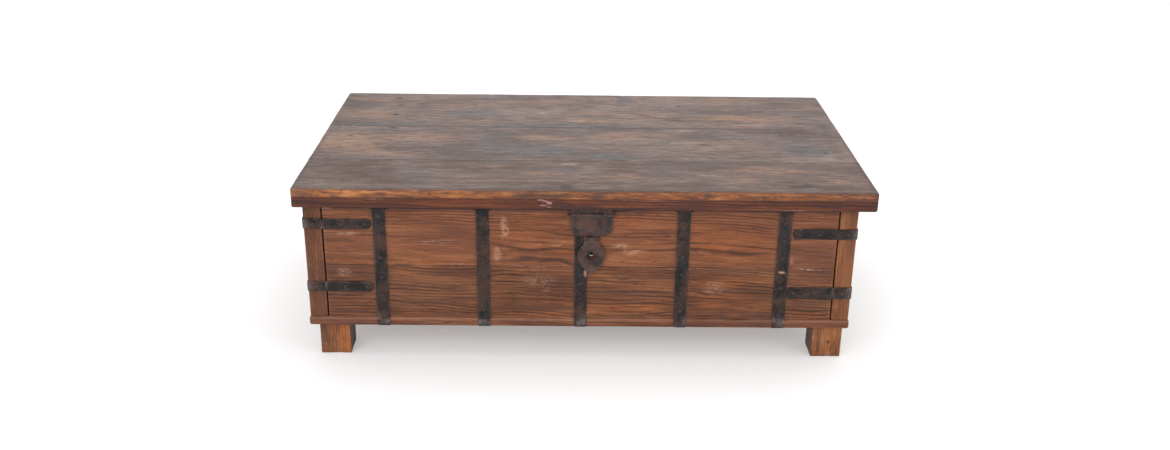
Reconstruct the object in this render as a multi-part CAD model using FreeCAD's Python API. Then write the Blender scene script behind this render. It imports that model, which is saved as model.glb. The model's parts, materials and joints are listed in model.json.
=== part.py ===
import FreeCAD, Part
import math
import os
from FreeCAD import Vector

# A low wooden storage chest on four block feet: plank walls between corner posts, a base moulding,
# a flat overhanging lid, flat iron straps held by domed nails, butt hinges behind and a hasp in front.
# Millimetres. +X runs along the chest, -Y is the front, +Z is up, and the floor is at z = 0.
# The origin is the centre of the lid's outline, brought down to the floor.

# Driving dimensions: the lid, whose outline is the chest's whole outline.
LID_LENGTH = 1350.0
LID_DEPTH = 797.0
LID_THICK = 46.6
TOP_BOARD_THICK = 21.0
TOTAL_HEIGHT = 442.6
LID_RAIL_WIDTH = 52.0
LID_SEAM_BACK = 83.0
LID_SEAM_FRONT = -186.0

# The box under the lid.
BODY_LENGTH = 1294.0
BODY_CENTRE_X = -8.9
FRONT_FACE_Y = -371.0
BACK_FACE_Y = 386.0
RIM_GAP = 0.4
BASE_BOTTOM_Z = 85.0
BASE_TOP_Z = 106.0
BASE_NOSE = 4.0
BASE_WIDTH = 60.0
BASE_ROUND = 8.0
POST_WIDTH = 42.0
POST_ROUND = 2.5
WALL_THICK = 22.0
SHADOW_GAP = 3.0
TONGUE_THICK = 8.0
TONGUE_DEPTH = 10.0
PLANK_SEAM_Z = 242.0
FLOOR_THICK = 18.0
FLOOR_BOARDS = 3

# Feet.
FOOT_WIDTH = 73.0
FOOT_DEPTH = 72.0
FOOT_INSET_X = 12.5
FOOT_INSET_Y = 13.0
FEET_SHIFT_X = 4.5

# Ironwork.
STRAP_THICK = 2.5
STRAP_WIDTH = 29.5
STRAP_TAIL = 25.0
STRAP_TOP_Z = 394.0
NAIL_HEAD_R = 5.5
NAIL_HEAD_H = 3.0
NAIL_SHANK_R = 1.8
NAIL_SHANK_L = 16.0
NAIL_HOLE_R = 2.0
CORNER_END_LEG = 157.0
CORNER_TIP_ROUND = 7.0

# Five upright straps on the front: place along the wall, then the heights of the nails.
FRONT_STRAPS = (
    (-471.0, (367.0, 321.0, 262.0, 212.0, 166.0, 124.0)),
    (-230.0, (352.0, 306.0, 262.0, 219.0, 172.0, 128.0)),
    (0.0, (222.0, 199.0, 138.0)),
    (240.0, (344.0, 308.0, 270.0, 225.0, 177.0, 128.0)),
    (477.0, (358.0, 312.0, 270.0, 190.0, 120.0)),
)
BACK_NAIL_HEIGHTS = (360.0, 312.0, 264.0, 216.0, 168.0, 126.0)

# Two straps round each corner: quarter turns from the front left corner, its name, and for each strap
# its bottom, its top and its reach along the long wall, where it stops short of an upright strap.
CORNERS = (
    (0, "front_left", ((174.0, 199.0, 155.0), (334.0, 360.0, 157.0))),
    (1, "front_right", ((163.0, 193.0, 153.0), (317.0, 343.0, 150.0))),
    (2, "back_right", ((166.0, 194.0, 151.0), (326.0, 353.0, 150.0))),
    (3, "back_left", ((170.0, 197.0, 155.0), (329.0, 356.0, 154.0))),
)
CORNER_NAIL_PLACES = (21.0, 88.0)
CORNER_TIP_NAIL = 15.0

# Hinges behind: places along the wall, and one hinge's own sizes.
HINGE_PLACES = (-355.0, 120.0, 358.0)
HINGE_WIDTH = 72.0
HINGE_CENTRE_KNUCKLE = 28.0
HINGE_SIDE_GAP = 0.5
HINGE_Y = 392.0
HINGE_Z = 390.5
HINGE_KNUCKLE_R = 5.2
HINGE_PIN_R = 2.5
RUNNING_CLEARANCE = 0.06
HINGE_LEAF_THICK = 2.5
HINGE_LEAF_HEIGHT = 55.0
LID_LEAF_THICK = 2.0
LID_LEAF_DEPTH = 36.0

# Hasp in front: a plate hung under the lid, a tongue hung under the plate, a staple in the wall.
HASP_X = 24.5
HASP_WIDTH = 97.0
HASP_PIN_Y = -379.2
HASP_PIN_Z = 378.0
HASP_KNUCKLE_R = 5.0
HASP_PIN_R = 2.4
HASP_PIN_OVERHANG = 8.0
HASP_CENTRE_KNUCKLE = 49.0
HASP_PLATE_BACK_Y = -376.2
HASP_PLATE_THICK = 2.5
HASP_PLATE_BOTTOM_Z = 322.8
HASP_PLATE_ROUND = 15.5
HASP_LEAF_THICK = 2.2
HASP_CLEARANCE = 0.5
TONGUE_PIN_Z = 318.0
TONGUE_KNUCKLE_R = 4.2
TONGUE_PIN_R = 1.8
TONGUE_KNUCKLE_WIDTH = 17.0
NECK_WIDTH = 36.0
TONGUE_METAL = 3.0
DISC_R = 32.5
DISC_Z = 269.0
TIP_WIDTH = 21.0
TIP_Z = 230.0
KEYHOLE_Z = 272.5
KEYHOLE_R = 9.0
KEYHOLE_TOP_R = 5.0
KEYHOLE_RISE = 7.0
STAPLE_HALF_WIDTH = 4.5
STAPLE_WIRE_R = 1.8
STAPLE_GAP = 0.7
STAPLE_Z = 273.0
STAPLE_LEG = 15.0

# Lid nails, driven down through the top boards into the battens and rails.
LID_BATTEN_PLACES = (-519.0, 521.0)
LID_BATTEN_WIDTH = 60.0
LID_NAIL_ROWS = (-380.0, -300.0, -215.0, -150.0, -20.0, 60.0, 118.0, 188.0, 273.0, 343.0, 383.0)
LID_NAIL_R = 3.2
LID_NAIL_L = 34.0

# Derived places.
LID_BOTTOM_Z = TOTAL_HEIGHT - LID_THICK
TOP_BOARD_Z = TOTAL_HEIGHT - TOP_BOARD_THICK
RIM_Z = LID_BOTTOM_Z - RIM_GAP
BODY_DEPTH = BACK_FACE_Y - FRONT_FACE_Y
BODY_CENTRE_Y = (BACK_FACE_Y + FRONT_FACE_Y) / 2
BODY_LEFT_X = BODY_CENTRE_X - BODY_LENGTH / 2
BODY_RIGHT_X = BODY_CENTRE_X + BODY_LENGTH / 2
HASP_CENTRE_X = BODY_CENTRE_X + HASP_X

# Each side's outward turn about +Z, the middle of its face and its length. A piece made "for the
# front" has x along the wall, its outer face at y = 0 and outwards as -y.
SIDES = {
    "front": (0, Vector(BODY_CENTRE_X, FRONT_FACE_Y, 0), BODY_LENGTH),
    "right": (90, Vector(BODY_RIGHT_X, BODY_CENTRE_Y, 0), BODY_DEPTH),
    "back": (180, Vector(BODY_CENTRE_X, BACK_FACE_Y, 0), BODY_LENGTH),
    "left": (270, Vector(BODY_LEFT_X, BODY_CENTRE_Y, 0), BODY_DEPTH),
}


def block(x0, x1, y0, y1, z0, z1):
    """A box from its low and high corners."""
    return Part.makeBox(x1 - x0, y1 - y0, z1 - z0, Vector(x0, y0, z0))


def rod(x0, x1, y, z, radius):
    """A round bar along X."""
    return Part.makeCylinder(radius, x1 - x0, Vector(x0, y, z), Vector(1, 0, 0))


def turned(shape, quarter_degrees, move):
    """A copy turned about +Z at the origin and then moved."""
    copy = shape.copy()
    copy.rotate(Vector(0, 0, 0), Vector(0, 0, 1), quarter_degrees)
    copy.translate(move)
    return copy


def on_side(shape, side):
    """Put a piece that was made for the front on its own side of the box."""
    angle, middle, _ = SIDES[side]
    return turned(shape, angle, middle)


def joined(shapes):
    """One solid from pieces that touch or overlap."""
    whole = shapes[0].fuse(shapes[1:])
    return whole.removeSplitter()


def edges_along(shape, axis, test):
    """The straight edges that run along an axis and pass a test of their middle point."""
    found = []
    for edge in shape.Edges:
        if len(edge.Vertexes) != 2:
            continue
        run = edge.Vertexes[1].Point - edge.Vertexes[0].Point
        middle = (edge.Vertexes[1].Point + edge.Vertexes[0].Point) * 0.5
        if run.Length > 0 and abs(run.dot(axis)) > 0.999 * run.Length and test(middle):
            found.append(edge)
    return found


def save(node, *solids):
    """Write one node."""
    shape = solids[0] if len(solids) == 1 else Part.makeCompound(list(solids))
    shape.exportStep(os.path.join("parts", node + ".step"))


def corner_post():
    """A post for the front left corner, its outer corner at x = y = 0, grooved for both walls."""
    post = block(0, POST_WIDTH, 0, POST_WIDTH, BASE_TOP_Z, RIM_Z)
    post = post.makeFillet(POST_ROUND, edges_along(post, Vector(0, 0, 1), lambda m: m.x < 1 and m.y < 1))
    near = (WALL_THICK - TONGUE_THICK) / 2
    far = near + TONGUE_THICK
    bottom = POST_WIDTH - TONGUE_DEPTH
    post = post.cut(block(bottom, POST_WIDTH, near, far, BASE_TOP_Z, RIM_Z))
    return post.cut(block(near, far, bottom, POST_WIDTH, BASE_TOP_Z, RIM_Z))


def wall_plank(length, z0, z1):
    """A wall plank for the front, with a tongue at each end that fills the posts' grooves."""
    half = length / 2 - POST_WIDTH
    near = (WALL_THICK - TONGUE_THICK) / 2
    face = block(SHADOW_GAP - half, half - SHADOW_GAP, 0, WALL_THICK, z0, z1)
    tongue = block(-half - TONGUE_DEPTH, half + TONGUE_DEPTH, near, near + TONGUE_THICK, z0, z1)
    return joined([face, tongue])


def base_moulding(length):
    """One side of the base frame for the front: a rounded nose outside, mitred at both ends."""
    reach = length / 2 + BASE_NOSE
    bar = block(-reach, reach, -BASE_NOSE, BASE_WIDTH - BASE_NOSE, BASE_BOTTOM_Z, BASE_TOP_Z)
    bar = bar.makeFillet(BASE_ROUND, edges_along(bar, Vector(1, 0, 0), lambda m: m.y < 0))
    inner = reach - BASE_WIDTH
    corners = [
        Vector(-reach, -BASE_NOSE, 0),
        Vector(reach, -BASE_NOSE, 0),
        Vector(inner, BASE_WIDTH - BASE_NOSE, 0),
        Vector(-inner, BASE_WIDTH - BASE_NOSE, 0),
    ]
    plan = Part.Face(Part.makePolygon(corners + corners[:1]))
    return bar.common(plan.extrude(Vector(0, 0, BASE_TOP_Z)))


def arc_about(centre, radius, start_degrees, end_degrees):
    """An arc in the YZ plane from one angle to another, measured from +Y towards +Z."""
    points = []
    for degrees in (start_degrees, (start_degrees + end_degrees) / 2, end_degrees):
        turn = math.radians(degrees)
        y = centre.y + radius * math.cos(turn)
        z = centre.z + radius * math.sin(turn)
        points.append(Vector(0, y, z))
    return Part.Arc(*points)


def upright_strap(nail_heights):
    """An upright strap for the front, bent over the nose of the moulding and in under it."""
    upper = Vector(0, BASE_ROUND - BASE_NOSE, BASE_TOP_Z - BASE_ROUND)
    lower = Vector(0, BASE_ROUND - BASE_NOSE, BASE_BOTTOM_Z + BASE_ROUND)
    inner_r = BASE_ROUND
    outer_r = BASE_ROUND + STRAP_THICK
    inner_start = 180 - math.degrees(math.asin(math.sqrt(inner_r ** 2 - upper.y ** 2) / inner_r))
    rise = math.sqrt(outer_r ** 2 - (upper.y + STRAP_THICK) ** 2)
    outer_start = 180 - math.degrees(math.asin(rise / outer_r))
    curves = [
        arc_about(upper, inner_r, inner_start, 180),
        arc_about(lower, inner_r, 180, 270),
        arc_about(lower, outer_r, 270, 180),
        arc_about(upper, outer_r, 180, outer_start),
    ]
    tail_inner = Vector(0, STRAP_TAIL, BASE_BOTTOM_Z)
    tail_outer = Vector(0, STRAP_TAIL, BASE_BOTTOM_Z - STRAP_THICK)
    top_outer = Vector(0, -STRAP_THICK, STRAP_TOP_Z)
    top_inner = Vector(0, 0, STRAP_TOP_Z)
    edges = [
        Part.makeLine(top_inner, curves[0].value(curves[0].FirstParameter)),
        curves[0].toShape(),
        Part.makeLine(curves[0].value(curves[0].LastParameter), curves[1].value(curves[1].FirstParameter)),
        curves[1].toShape(),
        Part.makeLine(curves[1].value(curves[1].LastParameter), tail_inner),
        Part.makeLine(tail_inner, tail_outer),
        Part.makeLine(tail_outer, curves[2].value(curves[2].FirstParameter)),
        curves[2].toShape(),
        Part.makeLine(curves[2].value(curves[2].LastParameter), curves[3].value(curves[3].FirstParameter)),
        curves[3].toShape(),
        Part.makeLine(curves[3].value(curves[3].LastParameter), top_outer),
        Part.makeLine(top_outer, top_inner),
    ]
    strap = Part.Face(Part.Wire(edges)).extrude(Vector(STRAP_WIDTH, 0, 0))
    strap.translate(Vector(-STRAP_WIDTH / 2, 0, 0))
    for height in nail_heights:
        strap = strap.cut(nail_hole(0, height))
    return strap


def nail_hole(x, z):
    """The hole that a nail needs in a strap for the front."""
    return Part.makeCylinder(NAIL_HOLE_R, STRAP_THICK + 2, Vector(x, 1, z), Vector(0, -1, 0))


def nail(x, z):
    """A domed nail for the front, its head on a strap's face and its shank in the wood."""
    dome_r = (NAIL_HEAD_R ** 2 + NAIL_HEAD_H ** 2) / (2 * NAIL_HEAD_H)
    under_head = -STRAP_THICK
    dome = Part.makeSphere(dome_r, Vector(x, under_head - NAIL_HEAD_H + dome_r, z))
    head = Part.makeCylinder(NAIL_HEAD_R, NAIL_HEAD_H, Vector(x, under_head, z), Vector(0, -1, 0))
    shank = Part.makeCylinder(NAIL_SHANK_R, NAIL_SHANK_L, Vector(x, under_head, z), Vector(0, 1, 0))
    return joined([head.common(dome), shank])


def nail_places(reach):
    """Where the nails stand along one leg of a corner strap."""
    return CORNER_NAIL_PLACES + (reach - CORNER_TIP_NAIL,)


def corner_strap(z0, z1, reach_x, reach_y):
    """A strap bent round the front left corner, which is at x = y = 0, with both tips rounded."""
    outer_r = POST_ROUND + STRAP_THICK
    legs = []
    tip = block(-STRAP_THICK, reach_x, -STRAP_THICK, 0, z0, z1)
    rounded = edges_along(tip, Vector(0, 1, 0), lambda m: m.x > 1)
    legs.append(tip.makeFillet(CORNER_TIP_ROUND, rounded))
    tip = block(-STRAP_THICK, 0, -STRAP_THICK, reach_y, z0, z1)
    rounded = edges_along(tip, Vector(1, 0, 0), lambda m: m.y > 1)
    legs.append(tip.makeFillet(CORNER_TIP_ROUND, rounded))
    legs.append(block(-1, POST_ROUND, -1, POST_ROUND, z0, z1))
    strap = joined(legs)
    outer = edges_along(strap, Vector(0, 0, 1), lambda m: m.x < -2 and m.y < -2)
    strap = strap.makeFillet(outer_r, outer)
    post = block(0, reach_x, 0, reach_y, z0 - 1, z1 + 1)
    post = post.makeFillet(POST_ROUND, edges_along(post, Vector(0, 0, 1), lambda m: m.x < 1 and m.y < 1))
    strap = strap.cut(post)
    middle = (z0 + z1) / 2
    for place in nail_places(reach_x):
        strap = strap.cut(nail_hole(place, middle))
    for place in nail_places(reach_y):
        strap = strap.cut(turned(nail_hole(-place, middle), 270, Vector(0, 0, 0)))
    return strap


def corner_strap_nails(z0, z1, reach_x, reach_y):
    """The nails of one strap round the front left corner."""
    middle = (z0 + z1) / 2
    nails = [nail(place, middle) for place in nail_places(reach_x)]
    for place in nail_places(reach_y):
        nails.append(turned(nail(-place, middle), 270, Vector(0, 0, 0)))
    return nails


def foot():
    """A block foot for the front left corner, measured from the body's corner at x = y = 0."""
    block_foot = block(FOOT_INSET_X, FOOT_INSET_X + FOOT_WIDTH, FOOT_INSET_Y, FOOT_INSET_Y + FOOT_DEPTH,
                       0, BASE_BOTTOM_Z)
    lower_edges = edges_along(block_foot, Vector(1, 0, 0), lambda m: m.z < 1)
    lower_edges += edges_along(block_foot, Vector(0, 1, 0), lambda m: m.z < 1)
    upright_edges = edges_along(block_foot, Vector(0, 0, 1), lambda m: True)
    return block_foot.makeChamfer(1.5, lower_edges + upright_edges)


def lid_slab(z0, z1, rounded_z, radius):
    """A layer of the lid with rounded plan corners and its outer edge rounded at one height."""
    slab = block(-LID_LENGTH / 2, LID_LENGTH / 2, -LID_DEPTH / 2, LID_DEPTH / 2, z0, z1)
    slab = slab.makeFillet(7.0, edges_along(slab, Vector(0, 0, 1), lambda m: True))
    rim = [edge for edge in slab.Edges if abs(edge.BoundBox.ZMin - rounded_z) < 0.01
           and abs(edge.BoundBox.ZMax - rounded_z) < 0.01]
    return slab.makeFillet(radius, rim)


def corner_shift(turns):
    """The turn and move that take a front left corner piece to its own corner."""
    places = (
        Vector(BODY_LEFT_X, FRONT_FACE_Y, 0),
        Vector(BODY_RIGHT_X, FRONT_FACE_Y, 0),
        Vector(BODY_RIGHT_X, BACK_FACE_Y, 0),
        Vector(BODY_LEFT_X, BACK_FACE_Y, 0),
    )
    return 90 * turns, places[turns]


def make_walls():
    """Two planks on each side, the base moulding and the corner posts."""
    heights = {"lower": (BASE_TOP_Z, PLANK_SEAM_Z), "upper": (PLANK_SEAM_Z, RIM_Z)}
    for side, (_, _, length) in SIDES.items():
        for layer, (z0, z1) in heights.items():
            save(side + "_" + layer + "_plank", on_side(wall_plank(length, z0, z1), side))
        save("base_moulding_" + side, on_side(base_moulding(length), side))
    for turns, corner, _ in CORNERS:
        save("corner_post_" + corner, turned(corner_post(), *corner_shift(turns)))


def make_floor():
    """Boards that lie on the base frame between the walls, on two battens, notched round the posts."""
    x0 = BODY_LEFT_X + WALL_THICK
    x1 = BODY_RIGHT_X - WALL_THICK
    y0 = FRONT_FACE_Y + WALL_THICK
    y1 = BACK_FACE_Y - WALL_THICK
    width = (y1 - y0) / FLOOR_BOARDS
    posts = []
    for turns, _, _ in CORNERS:
        post = block(0, POST_WIDTH, 0, POST_WIDTH, BASE_TOP_Z, RIM_Z)
        posts.append(turned(post, *corner_shift(turns)))
    for number in range(FLOOR_BOARDS):
        near = y0 + number * width
        board = block(x0, x1, near, near + width, BASE_TOP_Z, BASE_TOP_Z + FLOOR_THICK)
        save("floor_board_" + str(number + 1), board.cut(posts))
    inner = BASE_WIDTH - BASE_NOSE
    battens = []
    for place in (-BODY_LENGTH / 6, BODY_LENGTH / 6):
        x = BODY_CENTRE_X + place
        battens.append(block(x - 25, x + 25, FRONT_FACE_Y + inner, BACK_FACE_Y - inner,
                             BASE_BOTTOM_Z, BASE_TOP_Z))
    save("floor_battens", *battens)


def make_feet():
    """Four block feet under the corners of the base frame."""
    for turns, corner, _ in CORNERS:
        angle, move = corner_shift(turns)
        block_foot = foot()
        if turns % 2:
            swap = FreeCAD.Matrix(0, 1, 0, 0, 1, 0, 0, 0, 0, 0, 1, 0, 0, 0, 0, 1)
            block_foot = block_foot.transformGeometry(swap)
        save("foot_" + corner, turned(block_foot, angle, move + Vector(FEET_SHIFT_X, 0, 0)))


def make_straps():
    """Upright straps before and behind, straps round the corners, and every domed nail."""
    nails = []
    for number, (x, heights) in enumerate(FRONT_STRAPS, start=1):
        strap = upright_strap(heights)
        strap.translate(Vector(x, 0, 0))
        save("front_strap_" + str(number), on_side(strap, "front"))
        for height in heights:
            nails.append(on_side(nail(x, height), "front"))
    back_straps = []
    for x, _ in FRONT_STRAPS:
        strap = upright_strap(BACK_NAIL_HEIGHTS)
        strap.translate(Vector(-x, 0, 0))
        back_straps.append(on_side(strap, "back"))
        for height in BACK_NAIL_HEIGHTS:
            nails.append(on_side(nail(-x, height), "back"))
    save("back_straps", *back_straps)
    for place in HINGE_PLACES:
        for x in (place - HINGE_WIDTH / 3, place, place + HINGE_WIDTH / 3):
            nails.append(on_side(nail(x, hinge_nail_height(x - place)), "back"))
    save("strap_and_hinge_nails", *nails)
    corner_nails = []
    for turns, corner, bands in CORNERS:
        for name, (z0, z1, wall_reach) in zip(("lower", "upper"), bands):
            reaches = (wall_reach, CORNER_END_LEG)
            if turns % 2:
                reaches = (CORNER_END_LEG, wall_reach)
            strap = turned(corner_strap(z0, z1, *reaches), *corner_shift(turns))
            save("corner_strap_" + corner + "_" + name, strap)
            for solid in corner_strap_nails(z0, z1, *reaches):
                corner_nails.append(turned(solid, *corner_shift(turns)))
    save("corner_strap_nails", *corner_nails)


def hinge_nail_height(offset):
    """Hinge nails stand in a triangle: two high at the sides and one low in the middle."""
    low = HINGE_Z - HINGE_LEAF_HEIGHT + 10
    return low + 24 if abs(offset) > 1 else low


def make_hinges():
    """Butt hinges: a leaf on the back wall, a leaf let into the lid's back rail, and a pin."""
    leaf_top = HINGE_Z - HINGE_KNUCKLE_R - HINGE_SIDE_GAP
    leaf_out = BACK_FACE_Y + HINGE_LEAF_THICK
    half = HINGE_WIDTH / 2
    centre_half = HINGE_CENTRE_KNUCKLE / 2
    lid_bore = HINGE_PIN_R + RUNNING_CLEARANCE
    body_leaves = []
    lid_leaves = []
    pins = []
    for place in HINGE_PLACES:
        x = BODY_CENTRE_X - place
        plate = block(x - half, x + half, BACK_FACE_Y, leaf_out, HINGE_Z - HINGE_LEAF_HEIGHT, leaf_top)
        arm = block(x - centre_half, x + centre_half, BACK_FACE_Y, leaf_out, leaf_top, HINGE_Z + 1)
        knuckle = rod(x - centre_half, x + centre_half, HINGE_Y, HINGE_Z, HINGE_KNUCKLE_R)
        leaf = joined([plate, arm, knuckle])
        leaf = leaf.cut(rod(x - half, x + half, HINGE_Y, HINGE_Z, HINGE_PIN_R))
        for offset in (-HINGE_WIDTH / 3, 0, HINGE_WIDTH / 3):
            leaf = leaf.cut(turned(nail_hole(0, hinge_nail_height(offset)), 180,
                                   Vector(x + offset, BACK_FACE_Y, 0)))
        body_leaves.append(leaf)
        tray_front = LID_DEPTH / 2 - LID_LEAF_DEPTH
        pieces = [block(x - half, x + half, tray_front, HINGE_Y + 2.5,
                        LID_BOTTOM_Z, LID_BOTTOM_Z + LID_LEAF_THICK)]
        for x0, x1 in ((x - half, x - centre_half - HINGE_SIDE_GAP),
                       (x + centre_half + HINGE_SIDE_GAP, x + half)):
            pieces.append(rod(x0, x1, HINGE_Y, HINGE_Z, HINGE_KNUCKLE_R))
            pieces.append(block(x0, x1, HINGE_Y - 2.5, HINGE_Y + 2.5, HINGE_Z, LID_BOTTOM_Z))
        leaf = joined(pieces)
        lid_leaves.append(leaf.cut(rod(x - half, x + half, HINGE_Y, HINGE_Z, lid_bore)))
        pins.append(rod(x - half - 1, x + half + 1, HINGE_Y, HINGE_Z, HINGE_PIN_R))
    save("hinge_body_leaves", *body_leaves)
    save("hinge_lid_leaves", *lid_leaves)
    save("hinge_pins", *pins)


def lid_leaf_recesses():
    """The shallow recesses in the lid's back rail that the hinge leaves fill."""
    recesses = []
    for place in HINGE_PLACES:
        x = BODY_CENTRE_X - place
        half = HINGE_WIDTH / 2
        recesses.append(block(x - half, x + half, LID_DEPTH / 2 - LID_LEAF_DEPTH, HINGE_Y + 2.5,
                              LID_BOTTOM_Z - 1, LID_BOTTOM_Z + LID_LEAF_THICK))
    return recesses


def make_lid():
    """Three boards over a frame of four rails, with two battens across the inside and nails."""
    half_x = LID_LENGTH / 2
    half_y = LID_DEPTH / 2
    boards = lid_slab(TOP_BOARD_Z, TOTAL_HEIGHT, TOTAL_HEIGHT, 5.0)
    strips = {"front": (-half_y, LID_SEAM_FRONT), "middle": (LID_SEAM_FRONT, LID_SEAM_BACK),
              "back": (LID_SEAM_BACK, half_y)}
    for name, (y0, y1) in strips.items():
        save("lid_board_" + name, boards.common(block(-half_x, half_x, y0, y1, TOP_BOARD_Z, TOTAL_HEIGHT)))
    frame = lid_slab(LID_BOTTOM_Z, TOP_BOARD_Z, LID_BOTTOM_Z, 4.0)
    inner_x = half_x - LID_RAIL_WIDTH
    inner_y = half_y - LID_RAIL_WIDTH
    rails = {
        "front": block(-half_x, half_x, -half_y, -inner_y, LID_BOTTOM_Z, TOP_BOARD_Z),
        "back": block(-half_x, half_x, inner_y, half_y, LID_BOTTOM_Z, TOP_BOARD_Z),
        "left": block(-half_x, -inner_x, -inner_y, inner_y, LID_BOTTOM_Z, TOP_BOARD_Z),
        "right": block(inner_x, half_x, -inner_y, inner_y, LID_BOTTOM_Z, TOP_BOARD_Z),
    }
    for name, region in rails.items():
        rail = frame.common(region)
        if name == "back":
            rail = rail.cut(lid_leaf_recesses())
        save("lid_rail_" + name, rail)
    nails = []
    for name, x in zip(("left", "right"), LID_BATTEN_PLACES):
        half_batten = LID_BATTEN_WIDTH / 2
        save("lid_batten_" + name, block(x - half_batten, x + half_batten, -inner_y, inner_y,
                                         LID_BOTTOM_Z, TOP_BOARD_Z))
        for y in LID_NAIL_ROWS:
            nails.append(Part.makeCylinder(LID_NAIL_R, LID_NAIL_L,
                                           Vector(x, y, TOTAL_HEIGHT - LID_NAIL_L - 0.2)))
    save("lid_nails", *nails)


def make_hasp():
    """The hasp: a leaf under the lid, a rounded plate, a round tongue, two pins and the staple."""
    x = HASP_CENTRE_X
    half = HASP_WIDTH / 2
    centre_half = HASP_CENTRE_KNUCKLE / 2
    plate_front_y = HASP_PLATE_BACK_Y - HASP_PLATE_THICK
    side_spans = ((x - half, x - centre_half - HASP_CLEARANCE), (x + centre_half + HASP_CLEARANCE, x + half))

    pieces = [block(x - half, x + half, -LID_DEPTH / 2 + 4, HASP_PLATE_BACK_Y,
                    LID_BOTTOM_Z - HASP_LEAF_THICK, LID_BOTTOM_Z)]
    drop_bottom = HASP_PIN_Z + HASP_KNUCKLE_R + HASP_CLEARANCE
    pieces.append(block(x - half, x + half, plate_front_y, HASP_PLATE_BACK_Y, drop_bottom, LID_BOTTOM_Z))
    for x0, x1 in side_spans:
        pieces.append(block(x0, x1, plate_front_y, HASP_PLATE_BACK_Y, HASP_PIN_Z, drop_bottom))
        pieces.append(rod(x0, x1, HASP_PIN_Y, HASP_PIN_Z, HASP_KNUCKLE_R))
    leaf = joined(pieces)
    save("hasp_lid_leaf", leaf.cut(rod(x - half, x + half, HASP_PIN_Y, HASP_PIN_Z, HASP_PIN_R)))

    plate_top = HASP_PIN_Z - HASP_KNUCKLE_R - HASP_CLEARANCE
    plate = block(x - half, x + half, plate_front_y, HASP_PLATE_BACK_Y, HASP_PLATE_BOTTOM_Z, plate_top)
    lower = edges_along(plate, Vector(0, 1, 0), lambda m: m.z < HASP_PLATE_BOTTOM_Z + 1)
    plate = plate.makeFillet(HASP_PLATE_ROUND, lower)
    pieces = [plate]
    pieces.append(block(x - centre_half, x + centre_half, plate_front_y, HASP_PLATE_BACK_Y, plate_top,
                        HASP_PIN_Z))
    pieces.append(rod(x - centre_half, x + centre_half, HASP_PIN_Y, HASP_PIN_Z, HASP_KNUCKLE_R))
    neck_half = NECK_WIDTH / 2
    tongue_half = TONGUE_KNUCKLE_WIDTH / 2
    ear_spans = ((x - neck_half, x - tongue_half - HASP_CLEARANCE),
                 (x + tongue_half + HASP_CLEARANCE, x + neck_half))
    for x0, x1 in ear_spans:
        pieces.append(rod(x0, x1, HASP_PIN_Y, TONGUE_PIN_Z, TONGUE_KNUCKLE_R))
        pieces.append(block(x0, x1, plate_front_y, HASP_PLATE_BACK_Y, TONGUE_PIN_Z, HASP_PLATE_BOTTOM_Z + 1))
    plate = joined(pieces)
    plate = plate.cut(rod(x - half, x + half, HASP_PIN_Y, HASP_PIN_Z, HASP_PIN_R + RUNNING_CLEARANCE))
    save("hasp_plate", plate.cut(rod(x - half, x + half, HASP_PIN_Y, TONGUE_PIN_Z, TONGUE_PIN_R)))

    back_y = HASP_PIN_Y + TONGUE_METAL / 2
    front_y = HASP_PIN_Y - TONGUE_METAL / 2
    neck_top = TONGUE_PIN_Z - TONGUE_KNUCKLE_R - HASP_CLEARANCE
    pieces = [Part.makeCylinder(DISC_R, TONGUE_METAL, Vector(x, front_y, DISC_Z), Vector(0, 1, 0))]
    pieces.append(block(x - neck_half, x + neck_half, front_y, back_y, DISC_Z, neck_top))
    pieces.append(block(x - tongue_half, x + tongue_half, front_y, back_y, neck_top - 1, TONGUE_PIN_Z))
    pieces.append(rod(x - tongue_half, x + tongue_half, HASP_PIN_Y, TONGUE_PIN_Z, TONGUE_KNUCKLE_R))
    shoulder_z = DISC_Z - DISC_R * math.sin(math.radians(35))
    shoulder = DISC_R * math.cos(math.radians(35))
    outline = [
        Vector(x - shoulder, front_y, shoulder_z),
        Vector(x + shoulder, front_y, shoulder_z),
        Vector(x + TIP_WIDTH / 2, front_y, TIP_Z),
        Vector(x - TIP_WIDTH / 2, front_y, TIP_Z),
    ]
    tip = Part.Face(Part.makePolygon(outline + outline[:1])).extrude(Vector(0, TONGUE_METAL, 0))
    pieces.append(tip)
    tongue = joined(pieces)
    tongue = tongue.cut(rod(x - half, x + half, HASP_PIN_Y, TONGUE_PIN_Z, TONGUE_PIN_R + RUNNING_CLEARANCE))
    tongue = tongue.cut(keyhole(x, front_y))
    save("hasp_tongue", tongue)

    reach = half + HASP_PIN_OVERHANG
    save("hasp_pin", rod(x - reach, x + reach, HASP_PIN_Y, HASP_PIN_Z, HASP_PIN_R))
    save("hasp_tongue_pin", rod(x - neck_half - 1, x + neck_half + 1, HASP_PIN_Y, TONGUE_PIN_Z, TONGUE_PIN_R))

    nose_y = back_y + STAPLE_GAP
    bend_y = nose_y + STAPLE_WIRE_R + STAPLE_HALF_WIDTH
    ring = Part.makeTorus(STAPLE_HALF_WIDTH, STAPLE_WIRE_R, Vector(x, bend_y, STAPLE_Z), Vector(0, 0, 1))
    reach = STAPLE_HALF_WIDTH + STAPLE_WIRE_R + 1
    bend = ring.common(block(x - reach, x + reach, bend_y - reach, bend_y, STAPLE_Z - 5, STAPLE_Z + 5))
    legs = []
    for leg_x in (x - STAPLE_HALF_WIDTH, x + STAPLE_HALF_WIDTH):
        legs.append(Part.makeCylinder(STAPLE_WIRE_R, STAPLE_LEG, Vector(leg_x, bend_y, STAPLE_Z),
                                      Vector(0, 1, 0)))
    save("hasp_staple", joined([bend] + legs))


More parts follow.
